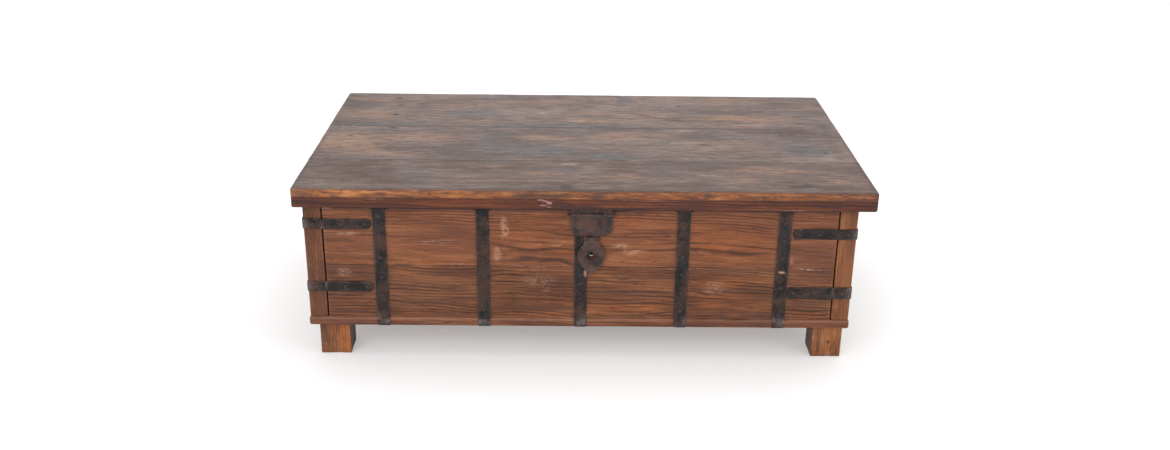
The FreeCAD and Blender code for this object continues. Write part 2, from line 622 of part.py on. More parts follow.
def keyhole(x, front_y):
    """The pear-shaped hole in the tongue, wide below and narrow above."""
    start = Vector(x, front_y - 1, 0)
    depth = TONGUE_METAL + 2
    along = Vector(0, 1, 0)
    low = Part.makeCylinder(KEYHOLE_R, depth, start + Vector(0, 0, KEYHOLE_Z), along)
    high = Part.makeCylinder(KEYHOLE_TOP_R, depth, start + Vector(0, 0, KEYHOLE_Z + KEYHOLE_RISE), along)
    lean = math.acos((KEYHOLE_R - KEYHOLE_TOP_R) / KEYHOLE_RISE)
    outline = []
    for sign, radius, z in ((-1, KEYHOLE_R, KEYHOLE_Z), (-1, KEYHOLE_TOP_R, KEYHOLE_Z + KEYHOLE_RISE),
                            (1, KEYHOLE_TOP_R, KEYHOLE_Z + KEYHOLE_RISE), (1, KEYHOLE_R, KEYHOLE_Z)):
        outline.append(start + Vector(sign * radius * math.sin(lean), 0, z + radius * math.cos(lean)))
    sides = Part.Face(Part.makePolygon(outline + outline[:1])).extrude(Vector(0, depth, 0))
    return joined([low, high, sides])


os.makedirs("parts", exist_ok=True)
make_walls()
make_floor()
make_feet()
make_straps()
make_hinges()
make_lid()
make_hasp()
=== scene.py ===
import itertools
import json
import math

import bmesh
import bpy
import numpy as np
from mathutils import Matrix, Vector


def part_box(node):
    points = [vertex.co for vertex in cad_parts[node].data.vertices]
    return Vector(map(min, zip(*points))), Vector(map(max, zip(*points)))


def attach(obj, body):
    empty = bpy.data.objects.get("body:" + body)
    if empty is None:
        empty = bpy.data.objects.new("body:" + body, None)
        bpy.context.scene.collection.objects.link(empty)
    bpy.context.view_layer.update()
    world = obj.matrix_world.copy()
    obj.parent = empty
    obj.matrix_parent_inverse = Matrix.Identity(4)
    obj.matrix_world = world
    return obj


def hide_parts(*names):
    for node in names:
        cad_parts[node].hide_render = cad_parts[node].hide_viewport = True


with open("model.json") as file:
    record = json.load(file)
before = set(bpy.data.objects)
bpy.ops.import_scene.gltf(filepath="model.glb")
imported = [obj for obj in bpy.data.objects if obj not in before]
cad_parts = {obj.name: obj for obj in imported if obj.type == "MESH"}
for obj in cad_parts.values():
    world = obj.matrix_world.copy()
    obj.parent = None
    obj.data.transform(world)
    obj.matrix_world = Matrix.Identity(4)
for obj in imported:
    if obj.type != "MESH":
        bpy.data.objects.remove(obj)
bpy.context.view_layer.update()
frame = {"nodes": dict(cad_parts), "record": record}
BODY_OF = {node: body for body, nodes in frame["record"]["behaviour"]["bodies"].items() for node in nodes}
MM = 0.001
TINY = 1e-6
FAR = 1.0
UP = np.array([0.0, 0.0, 1.0])
RUN = np.array([1.0, 0.0, 0.0])
PLAN = (0, 1)
FACE = (0, 2)

# In all of the shapes below, p holds points, one in each row, and q the same points after they move.

# ---------------------------------------------------------------- small tools


def srgb(r, g, b):
    """A linear colour from the 0 to 255 values that a screen shows."""
    out = []
    for value in (r, g, b):
        v = value / 255
        out.append(v / 12.92 if v <= 0.04045 else ((v + 0.055) / 1.055) ** 2.4)
    return (*out, 1.0)


def lattice(ix, iy, iz, seed):
    """A fixed value from 0 to 1 for each whole-number point."""
    n = ix * 374761393 + iy * 668265263 + iz * 2147483647 + seed * 1274126177
    n = (n ^ (n >> 13)) * 1274126177
    n = n & 0x7FFFFFFF
    n = (n ^ (n >> 16)) * 69069
    return (n & 0xFFFF) / 65535.0


def noise3(p, size, seed):
    """Smooth noise from -1 to 1; size is the width of a lump, or its widths along X, Y and Z."""
    q = p / np.asarray(size) + 1000.0
    base = np.floor(q).astype(np.int64)
    f = q - base
    f = f * f * (3 - 2 * f)
    total = np.zeros(len(p))
    for corner in itertools.product((0, 1), repeat=3):
        weight = np.where(corner, f, 1 - f).prod(axis=1)
        total += weight * lattice(*(base + corner).T, seed)
    return total * 2 - 1


def smooth(x, low, high):
    """0 at low, 1 at high, and a smooth rise between; low may be the larger."""
    t = np.clip((x - low) / (high - low), 0, 1)
    return t * t * (3 - 2 * t)


def bell(x, width):
    """1 where x is 0, falling away on both sides over the width."""
    return np.exp(-(x / width) ** 2)


def name_seed(name):
    """A fixed number for a name."""
    return sum((i + 1) * ord(c) for i, c in enumerate(name)) % 9973


def node_box(node):
    """The lowest and highest corners of a CAD node."""
    low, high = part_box(node)
    return np.array(low), np.array(high)


def settle(piece, material, node):
    """Finish a piece: it stands for its CAD node, rides its body and takes its material."""
    for polygon in piece.data.polygons:
        polygon.use_smooth = True
    piece.data.materials.clear()
    piece.data.materials.append(material)
    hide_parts(node)
    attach(piece, BODY_OF[node])


def new_object(name, data):
    """An object in the scene."""
    made = bpy.data.objects.new(name, data)
    bpy.context.collection.objects.link(made)
    return made


LAYER_KINDS = {1: ("FLOAT", "value"), 3: ("FLOAT_VECTOR", "vector"), 4: ("FLOAT_COLOR", "color")}


def new_piece(node, points, faces, material, **layers):
    """A mesh piece for a CAD node; each layer gives every point a number, a vector or a colour."""
    mesh = bpy.data.meshes.new(node + "_aged")
    mesh.from_pydata([tuple(point) for point in points], [], faces)
    mesh.validate()
    piece = new_object(node + "_aged", mesh)
    settle(piece, material, node)
    for name, values in layers.items():
        set_layer(piece, name, values)


def set_layer(piece, name, values):
    """Store a value for each point, which the material reads by its name."""
    values = np.asarray(values, dtype=np.float32)
    kind, field = LAYER_KINDS[values.size // len(values)]
    piece.data.attributes.new(name, kind, "POINT").data.foreach_set(field, values.ravel())


def arc(x, z, radius_x, radius_z, first, last, count):
    """Places on an arc about (x, z), from the first to the last angle in degrees."""
    turns = [math.radians(angle) for angle in np.linspace(first, last, count)]
    return [(x + radius_x * math.cos(turn), z + radius_z * math.sin(turn)) for turn in turns]


# ---------------------------------------------------------------- materials


class Nodes:
    """A material's node tree, with short calls that add nodes. Colours are the values a screen shows."""

    def __init__(self, name):
        self.material = bpy.data.materials.new(name)
        self.material.use_nodes = True
        self.tree = self.material.node_tree
        self.shader = self.tree.nodes["Principled BSDF"]

    def put(self, socket, value):
        """Link another node's output to a socket, or set the socket's constant."""
        if isinstance(value, bpy.types.NodeSocket):
            self.tree.links.new(value, socket)
        else:
            socket.default_value = srgb(*value) if socket.type == "RGBA" else value

    def add(self, kind, inputs, **settings):
        """The outputs of a new node; inputs gives values by the input's name or number."""
        node = self.tree.nodes.new("ShaderNode" + kind)
        for name, value in settings.items():
            setattr(node, name, value)
        for key, value in inputs.items():
            self.put(node.inputs[key], value)
        return node.outputs

    def layer(self, name, output):
        """One of the values that set_layer stored on the piece."""
        return self.add("Attribute", {}, attribute_name=name)[output]

    def marks(self):
        """The four amounts of the piece's "marks" layer."""
        parts = self.add("SeparateColor", {0: self.layer("marks", "Color")})
        return [*parts[:3], self.layer("marks", "Alpha")]

    def noise(self, place, scale=(1, 1, 1), shift=(0, 0, 0), detail=3.0, rough=0.55, distortion=0.0,
              output=0):
        """Noise at a place that is first scaled and shifted; output 0 is its value, 1 its colour."""
        place = self.add("Mapping", {"Vector": place, "Scale": scale, "Location": shift})[0]
        inputs = {"Vector": place, "Scale": 1.0, "Detail": detail, "Roughness": rough,
                  "Distortion": distortion}
        return self.add("TexNoise", inputs)[output]

    def math(self, kind, *values):
        """A sum on numbers, such as ADD or MAXIMUM."""
        return self.add("Math", dict(enumerate(values)), operation=kind)[0]

    def times(self, result, *factors):
        """A product."""
        for factor in factors:
            result = self.math("MULTIPLY", result, factor)
        return result

    def total(self, *terms):
        """The sum of (value, weight) terms."""
        result = 0.0
        for value, weight in terms:
            result = self.math("MULTIPLY_ADD", value, weight, result)
        return result

    def vector(self, kind, *values, output=0):
        """A sum on vectors; output 1 is the number, for kinds that give one."""
        return self.add("VectorMath", dict(enumerate(values)), operation=kind)[output]

    def rise(self, value, low, high, out_low=0.0, out_high=1.0):
        """out_low at low, out_high at high, and a smooth rise between."""
        numbers = dict(enumerate((value, low, high, out_low, out_high)))
        return self.add("MapRange", numbers, interpolation_type="SMOOTHSTEP")[0]

    def mix(self, amount, below, above):
        """The colour below at amount 0, and the colour above at amount 1."""
        return self.add("Mix", {0: amount, 6: below, 7: above}, data_type="RGBA")[2]

    def over(self, colour, *layers):
        """The colour with each (amount, tint) laid over it in turn."""
        for amount, tint in layers:
            colour = self.mix(amount, colour, tint)
        return colour

    def ramp(self, value, *stops):
        """Colours at (place, colour) stops."""
        node = self.tree.nodes.new("ShaderNodeValToRGB")
        self.put(node.inputs[0], value)
        elements = node.color_ramp.elements
        while len(elements) < len(stops):
            elements.new(0.5)
        for element, (place, colour) in zip(elements, stops):
            element.position = place
            element.color = srgb(*colour)
        return node.outputs[0]

    def bump(self, height, strength, distance, **below):
        return self.add("Bump", {"Strength": strength, "Distance": distance, "Height": height, **below})[0]

    def finish(self, colour, roughness, normal, metallic=0.0, specular=0.5):
        """The material, with these on its shader's sockets."""
        sockets = {"Base Color": colour, "Roughness": roughness, "Metallic": metallic,
                   "Specular IOR Level": specular, "Normal": normal}
        for key, value in sockets.items():
            self.put(self.shader.inputs[key], value)
        return self.material


def year_rings(n, grain, per_metre, sway):
    """Dark late-wood lines of the tree's rings, from 0 to 1, bold and faint in turn."""
    bent = grain
    for scale, reach in (((2.2, 9, 9), sway), ((13, 34, 34), sway / 6)):
        wander = n.vector("SUBTRACT", n.noise(grain, scale, detail=2.0, output=1), (0.5, 0.5, 0.5))
        bent = n.vector("ADD", bent, n.vector("MULTIPLY", wander, (0.0, reach, reach)))
    from_pith = n.vector("LENGTH", n.vector("MULTIPLY", bent, (0.0, 1.0, 1.0)), output=1)
    count = n.times(from_pith, per_metre)
    year = n.math("FRACT", count)
    late = n.times(n.rise(year, 0.50, 0.80), n.rise(year, 1.0, 0.92))
    along = n.add("SeparateXYZ", {0: grain})[0]
    pair = n.add("CombineXYZ", {0: n.times(count, 0.55), 1: n.times(along, 2.5)})[0]
    bold = n.rise(n.noise(pair, detail=1.0), 0.38, 0.56, 0.15, 1.0)
    place = n.rise(n.noise(grain, (5, 24, 24)), 0.36, 0.52, 0.30, 1.0)
    return n.times(late, bold, place)


def wood(name, dark, middle, light, line, stain, worn, rings=150.0, line_depth=0.75, worn_edge=0.3,
         rough=(0.46, 0.66), patch=0.5, sway=0.026, pale=(190, 146, 118)):
    """Old open-grained teak. The piece's "grain" layer gives places along, across and into the grain
    from the middle of the tree; "marks" gives dark, pale, warm and worn-edge amounts."""
    n = Nodes(name)
    grain = n.layer("grain", "Vector")
    dark_mark, pale_mark, warm_mark, edge_mark = n.marks()
    late = year_rings(n, grain, rings, sway)
    fibre = n.noise(grain, (11, 400, 400), rough=0.6)
    streak = n.noise(grain, (6, 100, 100), detail=5.0, rough=0.72)
    pores = n.rise(n.noise(grain, (42, 1300, 1300), detail=1.0), 0.62, 0.70)
    tone = n.noise(grain, (4.5, 15, 15), detail=4.0, rough=0.6)
    cloud = n.noise(grain, (7, 13, 13), (3, 5, 7), detail=4.0)
    flecks = n.rise(n.noise(grain, (30, 190, 190), (9, 2, 4), detail=2.0), 0.64, 0.71)
    scratch = n.noise(grain, (90, 240, 240), detail=4.0, rough=0.75, distortion=0.8)
    scratch = n.rise(scratch, 0.44, 0.58, 0.10, 0.95)
    scratch = n.math("MAXIMUM", scratch, n.rise(pale_mark, 0.85, 1.0, 0.0, 0.8))
    colour = n.over(
        n.ramp(tone, (0.24, dark), (0.50, middle), (0.76, light)),
        (n.rise(cloud, 0.52, 0.74, 0.0, patch * 0.7), stain),
        (n.times(warm_mark, 0.45), (186, 102, 46)),
        (n.rise(streak, 0.38, 0.52, 0.62, 0.0), dark),
        (n.rise(streak, 0.54, 0.66, 0.0, 0.42), worn),
        (n.times(late, line_depth), line),
        (n.rise(fibre, 0.36, 0.66, 0.34, 0.0), line),
        (n.times(pores, 0.5), line),
        (n.times(flecks, 0.6), line),
        (n.times(edge_mark, n.rise(fibre, 0.3, 0.6, 0.4, 1.0), worn_edge), worn),
        (n.times(dark_mark, n.rise(streak, 0.75, 0.35, 0.55, 0.95)), stain),
        # Dark amounts above 0.9 turn near-black: mostly painted shade (under the lid, in the gaps at the
        # posts, behind the hasp's hole, along the lid rail's underside, on the feet's inner faces), and also
        # the knot on a foot.
        (n.rise(dark_mark, 0.90, 1.0, 0.0, 0.9), (30, 20, 17)),
        (n.times(pale_mark, scratch), pale))
    roughness = n.rise(n.total((fibre, 1.0), (cloud, 0.6)), 0.5, 1.1, *rough)
    height = n.total((late, -1.0), (fibre, 0.55), (pores, -0.9), (flecks, -0.9))
    return n.finish(colour, roughness, n.bump(height, 0.55, 0.6 * MM), specular=0.3)


def iron(name, base, dark, rust, bluish, rust_amount=0.45, rough=0.58, metallic=0.35):
    """Old wrought iron: near black, hammered, with brown rust, cold tints and rubbed high places.
    "marks" gives rubbed, rusty and bare amounts."""
    n = Nodes(name)
    place = n.add("TexCoord", {})["Object"]
    rubbed, rusty, bare = n.marks()[:3]
    cloud = n.noise(place, (30, 30, 30), detail=5.0, rough=0.7)
    cold = n.noise(place, (16, 16, 16), (7, 3, 1))
    grit = n.noise(place, (420, 420, 420), rough=0.7)
    pits = n.noise(place, (150, 150, 150), (2, 9, 4), detail=4.0, rough=0.6)
    colour = n.over(
        n.ramp(cloud, (0.42, dark), (0.52, base), (0.63, rust)),
        (n.rise(cold, 0.5, 0.64, 0.0, 0.6), bluish),
        (n.total((n.rise(pits, 0.5, 0.64), rust_amount), (rusty, 0.6)), rust),
        (n.rise(grit, 0.35, 0.7, 0.45, 0.0), dark),
        # Rubbed amounts turn grey: wear, and on the hasp's knuckles a painted highlight.
        (n.times(rubbed, n.rise(pits, 0.62, 0.42, 0.25, 0.75)), (138, 132, 128)),
        (bare, (184, 142, 122)))
    roughness = n.rise(grit, 0.3, 0.7, rough - 0.10, rough + 0.14)
    normal = n.bump(grit, 0.35, 0.4 * MM, Normal=n.bump(pits, 0.55, 1.1 * MM))
    shine = n.math("MULTIPLY_ADD", rubbed, 0.35, metallic)
    return n.finish(colour, roughness, normal, metallic=shine, specular=0.45)


def lid_wood():
    """The lid's boards: a worn grey-brown top with tan, bluish and dark drifts, and warm brown edges."""
    n = Nodes("lid teak")
    grain = n.layer("grain", "Vector")
    dark_mark, pale_mark, warm_mark, edge_mark = n.marks()
    cold_mark = n.layer("cold", "Fac")
    brown_mark = n.layer("brown", "Fac")
    late = year_rings(n, grain, 130.0, 0.030)
    fibre = n.noise(grain, (14, 430, 430), rough=0.6)
    streak = n.noise(grain, (22, 125, 125), detail=5.0, rough=0.75)
    band = n.noise(grain, (2.6, 9, 9), (1, 4, 2), detail=5.0, rough=0.62)
    cloud = n.noise(grain, (5, 11, 11), (3, 5, 7), detail=5.0, rough=0.6)
    tint = n.noise(grain, (9, 34, 34), (8, 1, 3), detail=5.0, rough=0.7)
    pores = n.rise(n.noise(grain, (42, 1300, 1300), detail=1.0), 0.60, 0.68)
    flecks = n.rise(n.noise(grain, (34, 170, 170), (9, 2, 4), detail=2.0), 0.64, 0.71)
    scratch = n.rise(n.noise(grain, (40, 300, 300), detail=4.0, rough=0.72), 0.44, 0.60)
    top = n.over(
        n.ramp(band, (0.34, (96, 79, 73)), (0.46, (118, 98, 91)),
               (0.56, (131, 110, 101)), (0.68, (145, 123, 111))),
        (n.rise(cloud, 0.54, 0.66, 0.0, 0.30), (106, 103, 106)),
        (n.rise(tint, 0.54, 0.70, 0.0, 0.28), (154, 122, 101)),
        (n.times(cold_mark, n.rise(tint, 0.60, 0.42, 0.55, 0.95)), (98, 98, 100)),
        (n.times(warm_mark, n.rise(tint, 0.40, 0.58, 0.45, 0.95)), (168, 129, 101)),
        (n.rise(streak, 0.39, 0.52, 0.66, 0.0), (70, 55, 51)),
        (n.rise(streak, 0.54, 0.67, 0.0, 0.36), (178, 158, 147)),
        (n.times(brown_mark, n.rise(tint, 0.58, 0.44, 0.25, 1.0)), (86, 60, 46)))
    side = n.over(
        n.ramp(band, (0.36, (114, 58, 28)), (0.5, (154, 87, 40)), (0.62, (196, 122, 60))),
        (n.rise(cloud, 0.50, 0.62, 0.0, 0.6), (96, 54, 38)),
        (n.rise(streak, 0.40, 0.52, 0.72, 0.0), (70, 38, 26)),
        (n.rise(streak, 0.55, 0.66, 0.0, 0.36), (212, 152, 96)))
    edge = n.rise(edge_mark, 0.35, 0.62)
    line = (54, 37, 33)
    colour = n.over(
        n.mix(edge, top, side),
        (n.times(late, 0.42), line),
        (n.rise(fibre, 0.36, 0.66, 0.22, 0.0), line),
        (n.times(pores, 0.35), line),
        (n.times(flecks, 0.5), line),
        (n.times(dark_mark, n.rise(streak, 0.75, 0.35, 0.6, 0.95)), (56, 45, 45)),
        (n.times(pale_mark, scratch), n.mix(edge, (206, 184, 164), (206, 152, 106))))
    roughness = n.rise(n.math("ADD", fibre, cloud), 0.7, 1.3, 0.36, 0.58)
    height = n.total((late, -0.7), (fibre, 0.5), (pores, -0.8), (flecks, -0.9), (streak, 0.8))
    return n.finish(colour, roughness, n.bump(height, 0.5, 0.6 * MM), specular=0.4)


def batten_wood():
    """Rough-sawn timber for the hidden battens, from the piece's own place."""
    n = Nodes("batten timber")
    place = n.add("TexCoord", {})["Object"]
    streak = n.noise(place, (60, 2.5, 60), detail=4.0)
    fibre = n.noise(place, (420, 9, 420))
    colour = n.over(
        n.ramp(streak, (0.3, (92, 62, 44)), (0.55, (124, 86, 58)), (0.75, (146, 106, 74))),
        (n.rise(fibre, 0.35, 0.7, 0.35, 0.0), (60, 40, 30)))
    return n.finish(colour, n.rise(fibre, 0.3, 0.7, 0.6, 0.8), n.bump(fibre, 0.5, 0.6 * MM))


UPPER_WALL_WOOD = wood("upper wall teak", (102, 58, 38), (138, 81, 50), (164, 102, 62), (60, 34, 24),
                       (96, 61, 51), (178, 124, 86), rings=185.0, line_depth=0.76)
LOWER_WALL_WOOD = wood("lower wall teak", (84, 48, 31), (128, 76, 45), (160, 100, 59), (50, 28, 19),
                       (82, 54, 46), (168, 116, 80), rings=125.0, line_depth=0.95, sway=0.052)
DARK_POST_WOOD = wood("dark post teak", (76, 45, 32), (114, 67, 43), (160, 96, 58), (50, 30, 23),
                      (86, 56, 46), (150, 102, 74), line_depth=0.5)
LIGHT_POST_WOOD = wood("light post teak", (108, 62, 38), (136, 82, 48), (156, 98, 58), (76, 44, 28),
                       (98, 62, 44), (176, 122, 82), line_depth=0.36, patch=0.2)
MOULDING_WOOD = wood("moulding teak", (84, 47, 34), (120, 71, 49), (154, 98, 68), (60, 34, 24),
                     (78, 53, 48), (172, 124, 98), worn_edge=0.7)
FOOT_WOOD = wood("foot teak", (108, 63, 38), (154, 94, 54), (184, 118, 68), (62, 37, 25),
                 (76, 53, 42), (180, 130, 90), rings=140.0, line_depth=0.46, worn_edge=0.35, patch=0.4)
RAIL_WOOD = wood("lid edge teak", (70, 34, 23), (99, 49, 29), (126, 64, 33), (40, 21, 17),
                 (64, 37, 36), (142, 88, 62), rough=(0.40, 0.58), pale=(166, 128, 120))
INSIDE_WOOD = wood("inside teak", (98, 66, 46), (128, 88, 60), (150, 108, 76), (66, 42, 30),
                   (84, 60, 46), (150, 108, 76), rings=200.0, worn_edge=0.5, rough=(0.6, 0.8))
LID_WOOD = lid_wood()
BATTEN_WOOD = batten_wood()
STRAP_IRON = iron("strap iron", (48, 38, 35), (11, 9, 10), (84, 56, 45), (44, 44, 47))
NAIL_IRON = iron("nail iron", (56, 47, 44), (28, 25, 26), (78, 55, 47), (48, 50, 53), rough=0.6)
HASP_IRON = iron("hasp iron", (74, 54, 49), (34, 27, 27), (94, 62, 52), (66, 58, 62), rust_amount=0.5,
                 metallic=0.25)
HINGE_IRON = iron("hinge iron", (64, 56, 54), (38, 36, 38), (90, 62, 52), (54, 58, 62))
# The staple's near-white colour is a painted glint, so it shows bright in the shade behind the tongue's
# hole.
STAPLE_GLINT_STEEL = iron("staple steel glint", (222, 216, 206), (170, 162, 154), (170, 140, 116), (214, 216, 218),
                    rust_amount=0.1, rough=0.32, metallic=0.4)

# ---------------------------------------------------------------- boards

GRAIN_AXES = {"x": (0, 1, 2), "y": (1, 0, 2), "z": (2, 0, 1)}
TONGUE_REACH = 13 * MM
TONGUE_THICK = 8 * MM
SHADOW_GAP = 3 * MM


def spaced(low, high, step, radius):
    """Places from low to high: close together in the rounded ends, evenly spaced between."""
    ends = np.array([0.0, 0.25, 0.6, 1.1]) * radius
    inner_low = low + 2.0 * radius
    inner_high = high - 2.0 * radius
    if inner_high - inner_low < step:
        return np.linspace(low, high, 7)
    count = max(1, int(round((inner_high - inner_low) / step)))
    return np.concatenate([low + ends, np.linspace(inner_low, inner_high, count + 1), high - ends[::-1]])


def box_grid(axes):
    """Welded points and quads on the outside of a box with the given places along X, Y and Z."""
    index = {}
    faces = []
    for axis in range(3):
        a, b = (other for other in range(3) if other != axis)
        for side in (0, len(axes[axis]) - 1):
            for i, j in itertools.product(range(len(axes[a]) - 1), range(len(axes[b]) - 1)):
                quad = []
                for di, dj in ((0, 0), (1, 0), (1, 1), (0, 1)):
                    key = [side, side, side]
                    key[a] = i + di
                    key[b] = j + dj
                    quad.append(index.setdefault(tuple(key), len(index)))
                faces.append(quad[::-1] if (side > 0) == (axis == 1) else quad)
    return np.array([[places[i] for places, i in zip(axes, key)] for key in index]), faces


def rounded(p, low, high, radius):
    """Round every edge of a box's points; radius is one value for each point."""
    r = radius[:, None]
    inner = np.minimum(np.maximum(p, low + r), high - r)
    away = p - inner
    reach = np.linalg.norm(away, axis=1)
    scale = np.where(reach > 1e-9, radius / np.maximum(reach, 1e-9), 0)
    return inner + away * scale[:, None]


def edge_closeness(p, low, high, width):
    """1 on an edge of the box, falling to 0 at a width from it."""
    gaps = np.sort(np.minimum(p - low, high - p), axis=1)
    return 1 - smooth(gaps[:, 1], 0, width)


def grain_places(p, axis, seed, pith, lean, low, high):
    """Places along, across and into the grain, measured from the middle of the tree."""
    along, across, depth = GRAIN_AXES[axis]
    middle = (low + high) / 2
    u = p[:, along] + np.random.default_rng(seed).uniform(-5, 5)
    v = p[:, across] - middle[across] + pith[0]
    w = p[:, depth] - middle[depth] + pith[1] + lean * (p[:, along] - middle[along])
    return np.stack([u, v, w], axis=1)


def spots(p, marks, plane):
    """The sum of soft oval marks: (place, place, half width, half height, amount), in mm in a plane."""
    total = np.zeros(len(p))
    for x, y, half_width, half_height, amount in marks:
        gap = (p[:, plane] - np.array([x, y]) * MM) / (np.array([half_width, half_height]) * MM)
        total += amount * smooth(np.hypot(*gap.T), 1.0, 0.35)
    return total


def wandering(p, reach, size, seed):
    """Points moved by smooth noise, so that the marks read from them have ragged outlines."""
    steps = [noise3(p, (size * 2, size, size), seed + i)
             + 0.5 * noise3(p, (size, size / 2, size / 2), seed + 5 + i) for i in range(3)]
    return p + np.stack([steps[0] * 2, steps[1], steps[2]], axis=1) * reach


# Straps on the front: places along the chest in mm from its middle, and their nails' heights.
FRONT_STRAPS = (
    (-471, (367, 321, 262, 212, 166, 124)), (-230, (352, 306, 262, 219, 172, 128)), (0, (222, 199, 138)),
    (240, (344, 308, 270, 225, 177, 128)), (477, (358, 312, 270, 190, 120)),
)
BACK_NAIL_HEIGHTS = (360, 312, 264, 216, 168, 126)
MOULDING_LOW, MOULDING_HIGH = node_box("base_moulding_front")
BODY_X = (MOULDING_LOW[0] + MOULDING_HIGH[0]) / 2
LID_UNDERSIDE = node_box("lid_rail_front")[0][2]
LEFT_X, FRONT_Y = node_box("corner_post_front_left")[0][:2]
RIGHT_X, BACK_Y = node_box("corner_post_back_right")[1][:2]
FRONT_FOOT_LEFT = node_box("foot_front_left")[0][0]

# Marks on the front wall, in mm along from its middle and up from the floor.
# Painted shade, with some grime, on the wall behind the hasp tongue's hole, dark enough to turn near-black.
FRONT_HOLE_SHADE_AND_GRIME = ((24.5, 274, 15, 15, 1.6),)
FRONT_DARK = (
    (-345, 175, 150, 90, 0.3), (-345, 330, 150, 80, 0.22), (-560, 250, 110, 160, 0.25),
    (560, 250, 110, 160, 0.32), (120, 175, 110, 80, 0.18), (120, 330, 110, 70, 0.1),
    (-420, 243, 34, 5, 0.9), (-330, 302, 90, 2.6, 0.9), (-560, 236, 90, 8, 0.6), (-300, 241, 90, 3, 0.7),
    (330, 178, 60, 7, 0.5), (420, 120, 60, 14, 0.6), (-560, 120, 60, 10, 0.5), (345, 118, 30, 12, 0.7),
    (90, 176, 80, 8, 0.5), (150, 214, 90, 9, 0.45), (540, 150, 60, 16, 0.4), (-100, 130, 110, 10, 0.5),
    (110, 318, 60, 5, 0.35), (560, 280, 50, 7, 0.45), (-360, 150, 90, 8, 0.4), (60, 380, 70, 10, 0.35),
    (-120, 242, 110, 3, 0.8), (130, 241, 110, 3, 0.5), (355, 238, 90, 4, 0.5), (560, 236, 60, 4, 0.5),
    (318, 184, 12, 7, 0.55), (-550, 222, 10, 7, 0.45), (300, 134, 60, 4, 0.6), (560, 178, 50, 20, 0.35),
    (-560, 180, 60, 30, 0.35), (-350, 112, 100, 8, 0.45), (120, 112, 100, 6, 0.4),
)
FRONT_PALE = (
    (-182, 340, 12, 36, 0.8), (-196, 272, 12, 24, 0.6), (90, 296, 34, 9, 0.6), (120, 280, 40, 10, 0.6),
    (-340, 304.5, 74, 1.8, 0.8), (-338, 299.5, 60, 1.5, 0.6), (-300, 245, 60, 2, 0.5),
    (540, 239, 50, 3, 0.7), (-100, 205, 60, 22, 0.3), (-40, 300, 40, 6, 0.3), (-590, 385, 20, 5, 0.6),
    (-545, 322, 40, 5, 0.5), (318, 190, 34, 22, 0.4), (-560, 224, 26, 14, 0.4), (-85, 180, 18, 5, 0.4),
    (500, 262, 4, 14, 0.6), (20, 120, 3, 16, 0.3), (240, 240, 120, 2, 0.3), (-60, 296, 14, 2.5, 0.7),
    (-100, 298, 10, 2, 0.6), (-120, 243, 90, 1.6, 0.7),
)
FRONT_WARM = (
    (-545, 253, 90, 9, 1), (-380, 252, 90, 8, 0.6), (100, 365, 90, 20, 0.6), (110, 305, 80, 24, 0.4),
    (340, 310, 110, 60, 0.75), (-120, 320, 90, 50, 0.45), (330, 200, 80, 24, 0.6), (350, 150, 90, 24, 0.5),
    (330, 168, 50, 8, 0.6), (130, 138, 110, 14, 0.8), (-360, 115, 110, 14, 0.5), (-90, 112, 90, 10, 0.6),
    (-40, 290, 60, 30, 0.4), (400, 120, 60, 14, 0.5), (545, 120, 50, 14, 0.45), (-560, 300, 60, 30, 0.3),
    (320, 380, 90, 12, 0.4), (-120, 370, 60, 20, 0.35), (-350, 370, 90, 20, 0.3), (380, 262, 70, 14, 0.5),
    (-20, 160, 60, 8, 0.4), (330, 134, 60, 10, 0.5),
)


def on_outside(p):
    """True for points on the outside of the walls."""
    beyond_x = (p[:, 0] < LEFT_X + 3 * MM) | (p[:, 0] > RIGHT_X - 3 * MM)
    return beyond_x | (p[:, 1] < FRONT_Y + 3 * MM) | (p[:, 1] > BACK_Y - 3 * MM)


def front_marks(p):
    """Stains, scuffs and warm patches on the front planks, with dirt darkening along the straps, a painted
    shade line just under the lid, and painted shade behind the hasp tongue's hole.
    """
    q = p - RUN * BODY_X
    nearest = np.min([np.abs(q[:, 0] - x * MM) for x, _ in FRONT_STRAPS], axis=0)
    # Dirt beside the straps, plus a painted shade line on the outside just under the lid, dark enough to
    # turn near-black.
    strap_grime_and_lid_shade = 0.5 * smooth(nearest, 26 * MM, 14 * MM) + on_outside(p) * smooth(p[:, 2], 0.376, 0.387)
    ragged = wandering(q, 3.0 * MM, 0.03, 61)
    dark = spots(q, FRONT_HOLE_SHADE_AND_GRIME, FACE) + spots(ragged, FRONT_DARK, FACE) + strap_grime_and_lid_shade
    warm = spots(wandering(q, 8.0 * MM, 0.06, 65), FRONT_WARM, FACE)
    outside = p[:, 1] < FRONT_Y + 12 * MM
    return np.stack([dark, spots(ragged, FRONT_PALE, FACE), warm], axis=1) * outside[:, None]


def plain_marks(p):
    """Soft warm and dark drifts for pieces that have no marks of their own, and a painted shade line on
    the outside just under the lid.
    """
    drifts = 0.6 * smooth(noise3(p, (0.22, 0.22, 0.03), 71), 0.35, 0.9)
    # Painted shade: a dark line on the outside faces just under the lid.
    under_lid_shade = on_outside(p) * smooth(p[:, 2], 0.378, 0.389) * (p[:, 2] < LID_UNDERSIDE)
    pale = 0.3 * smooth(noise3(p, (0.05, 0.05, 0.02), 72), 0.6, 0.95)
    warm = 0.8 * smooth(noise3(p, (0.25, 0.25, 0.05), 73), 0.1, 0.8)
    return np.stack([np.maximum(drifts, under_lid_shade), pale, warm], axis=1)


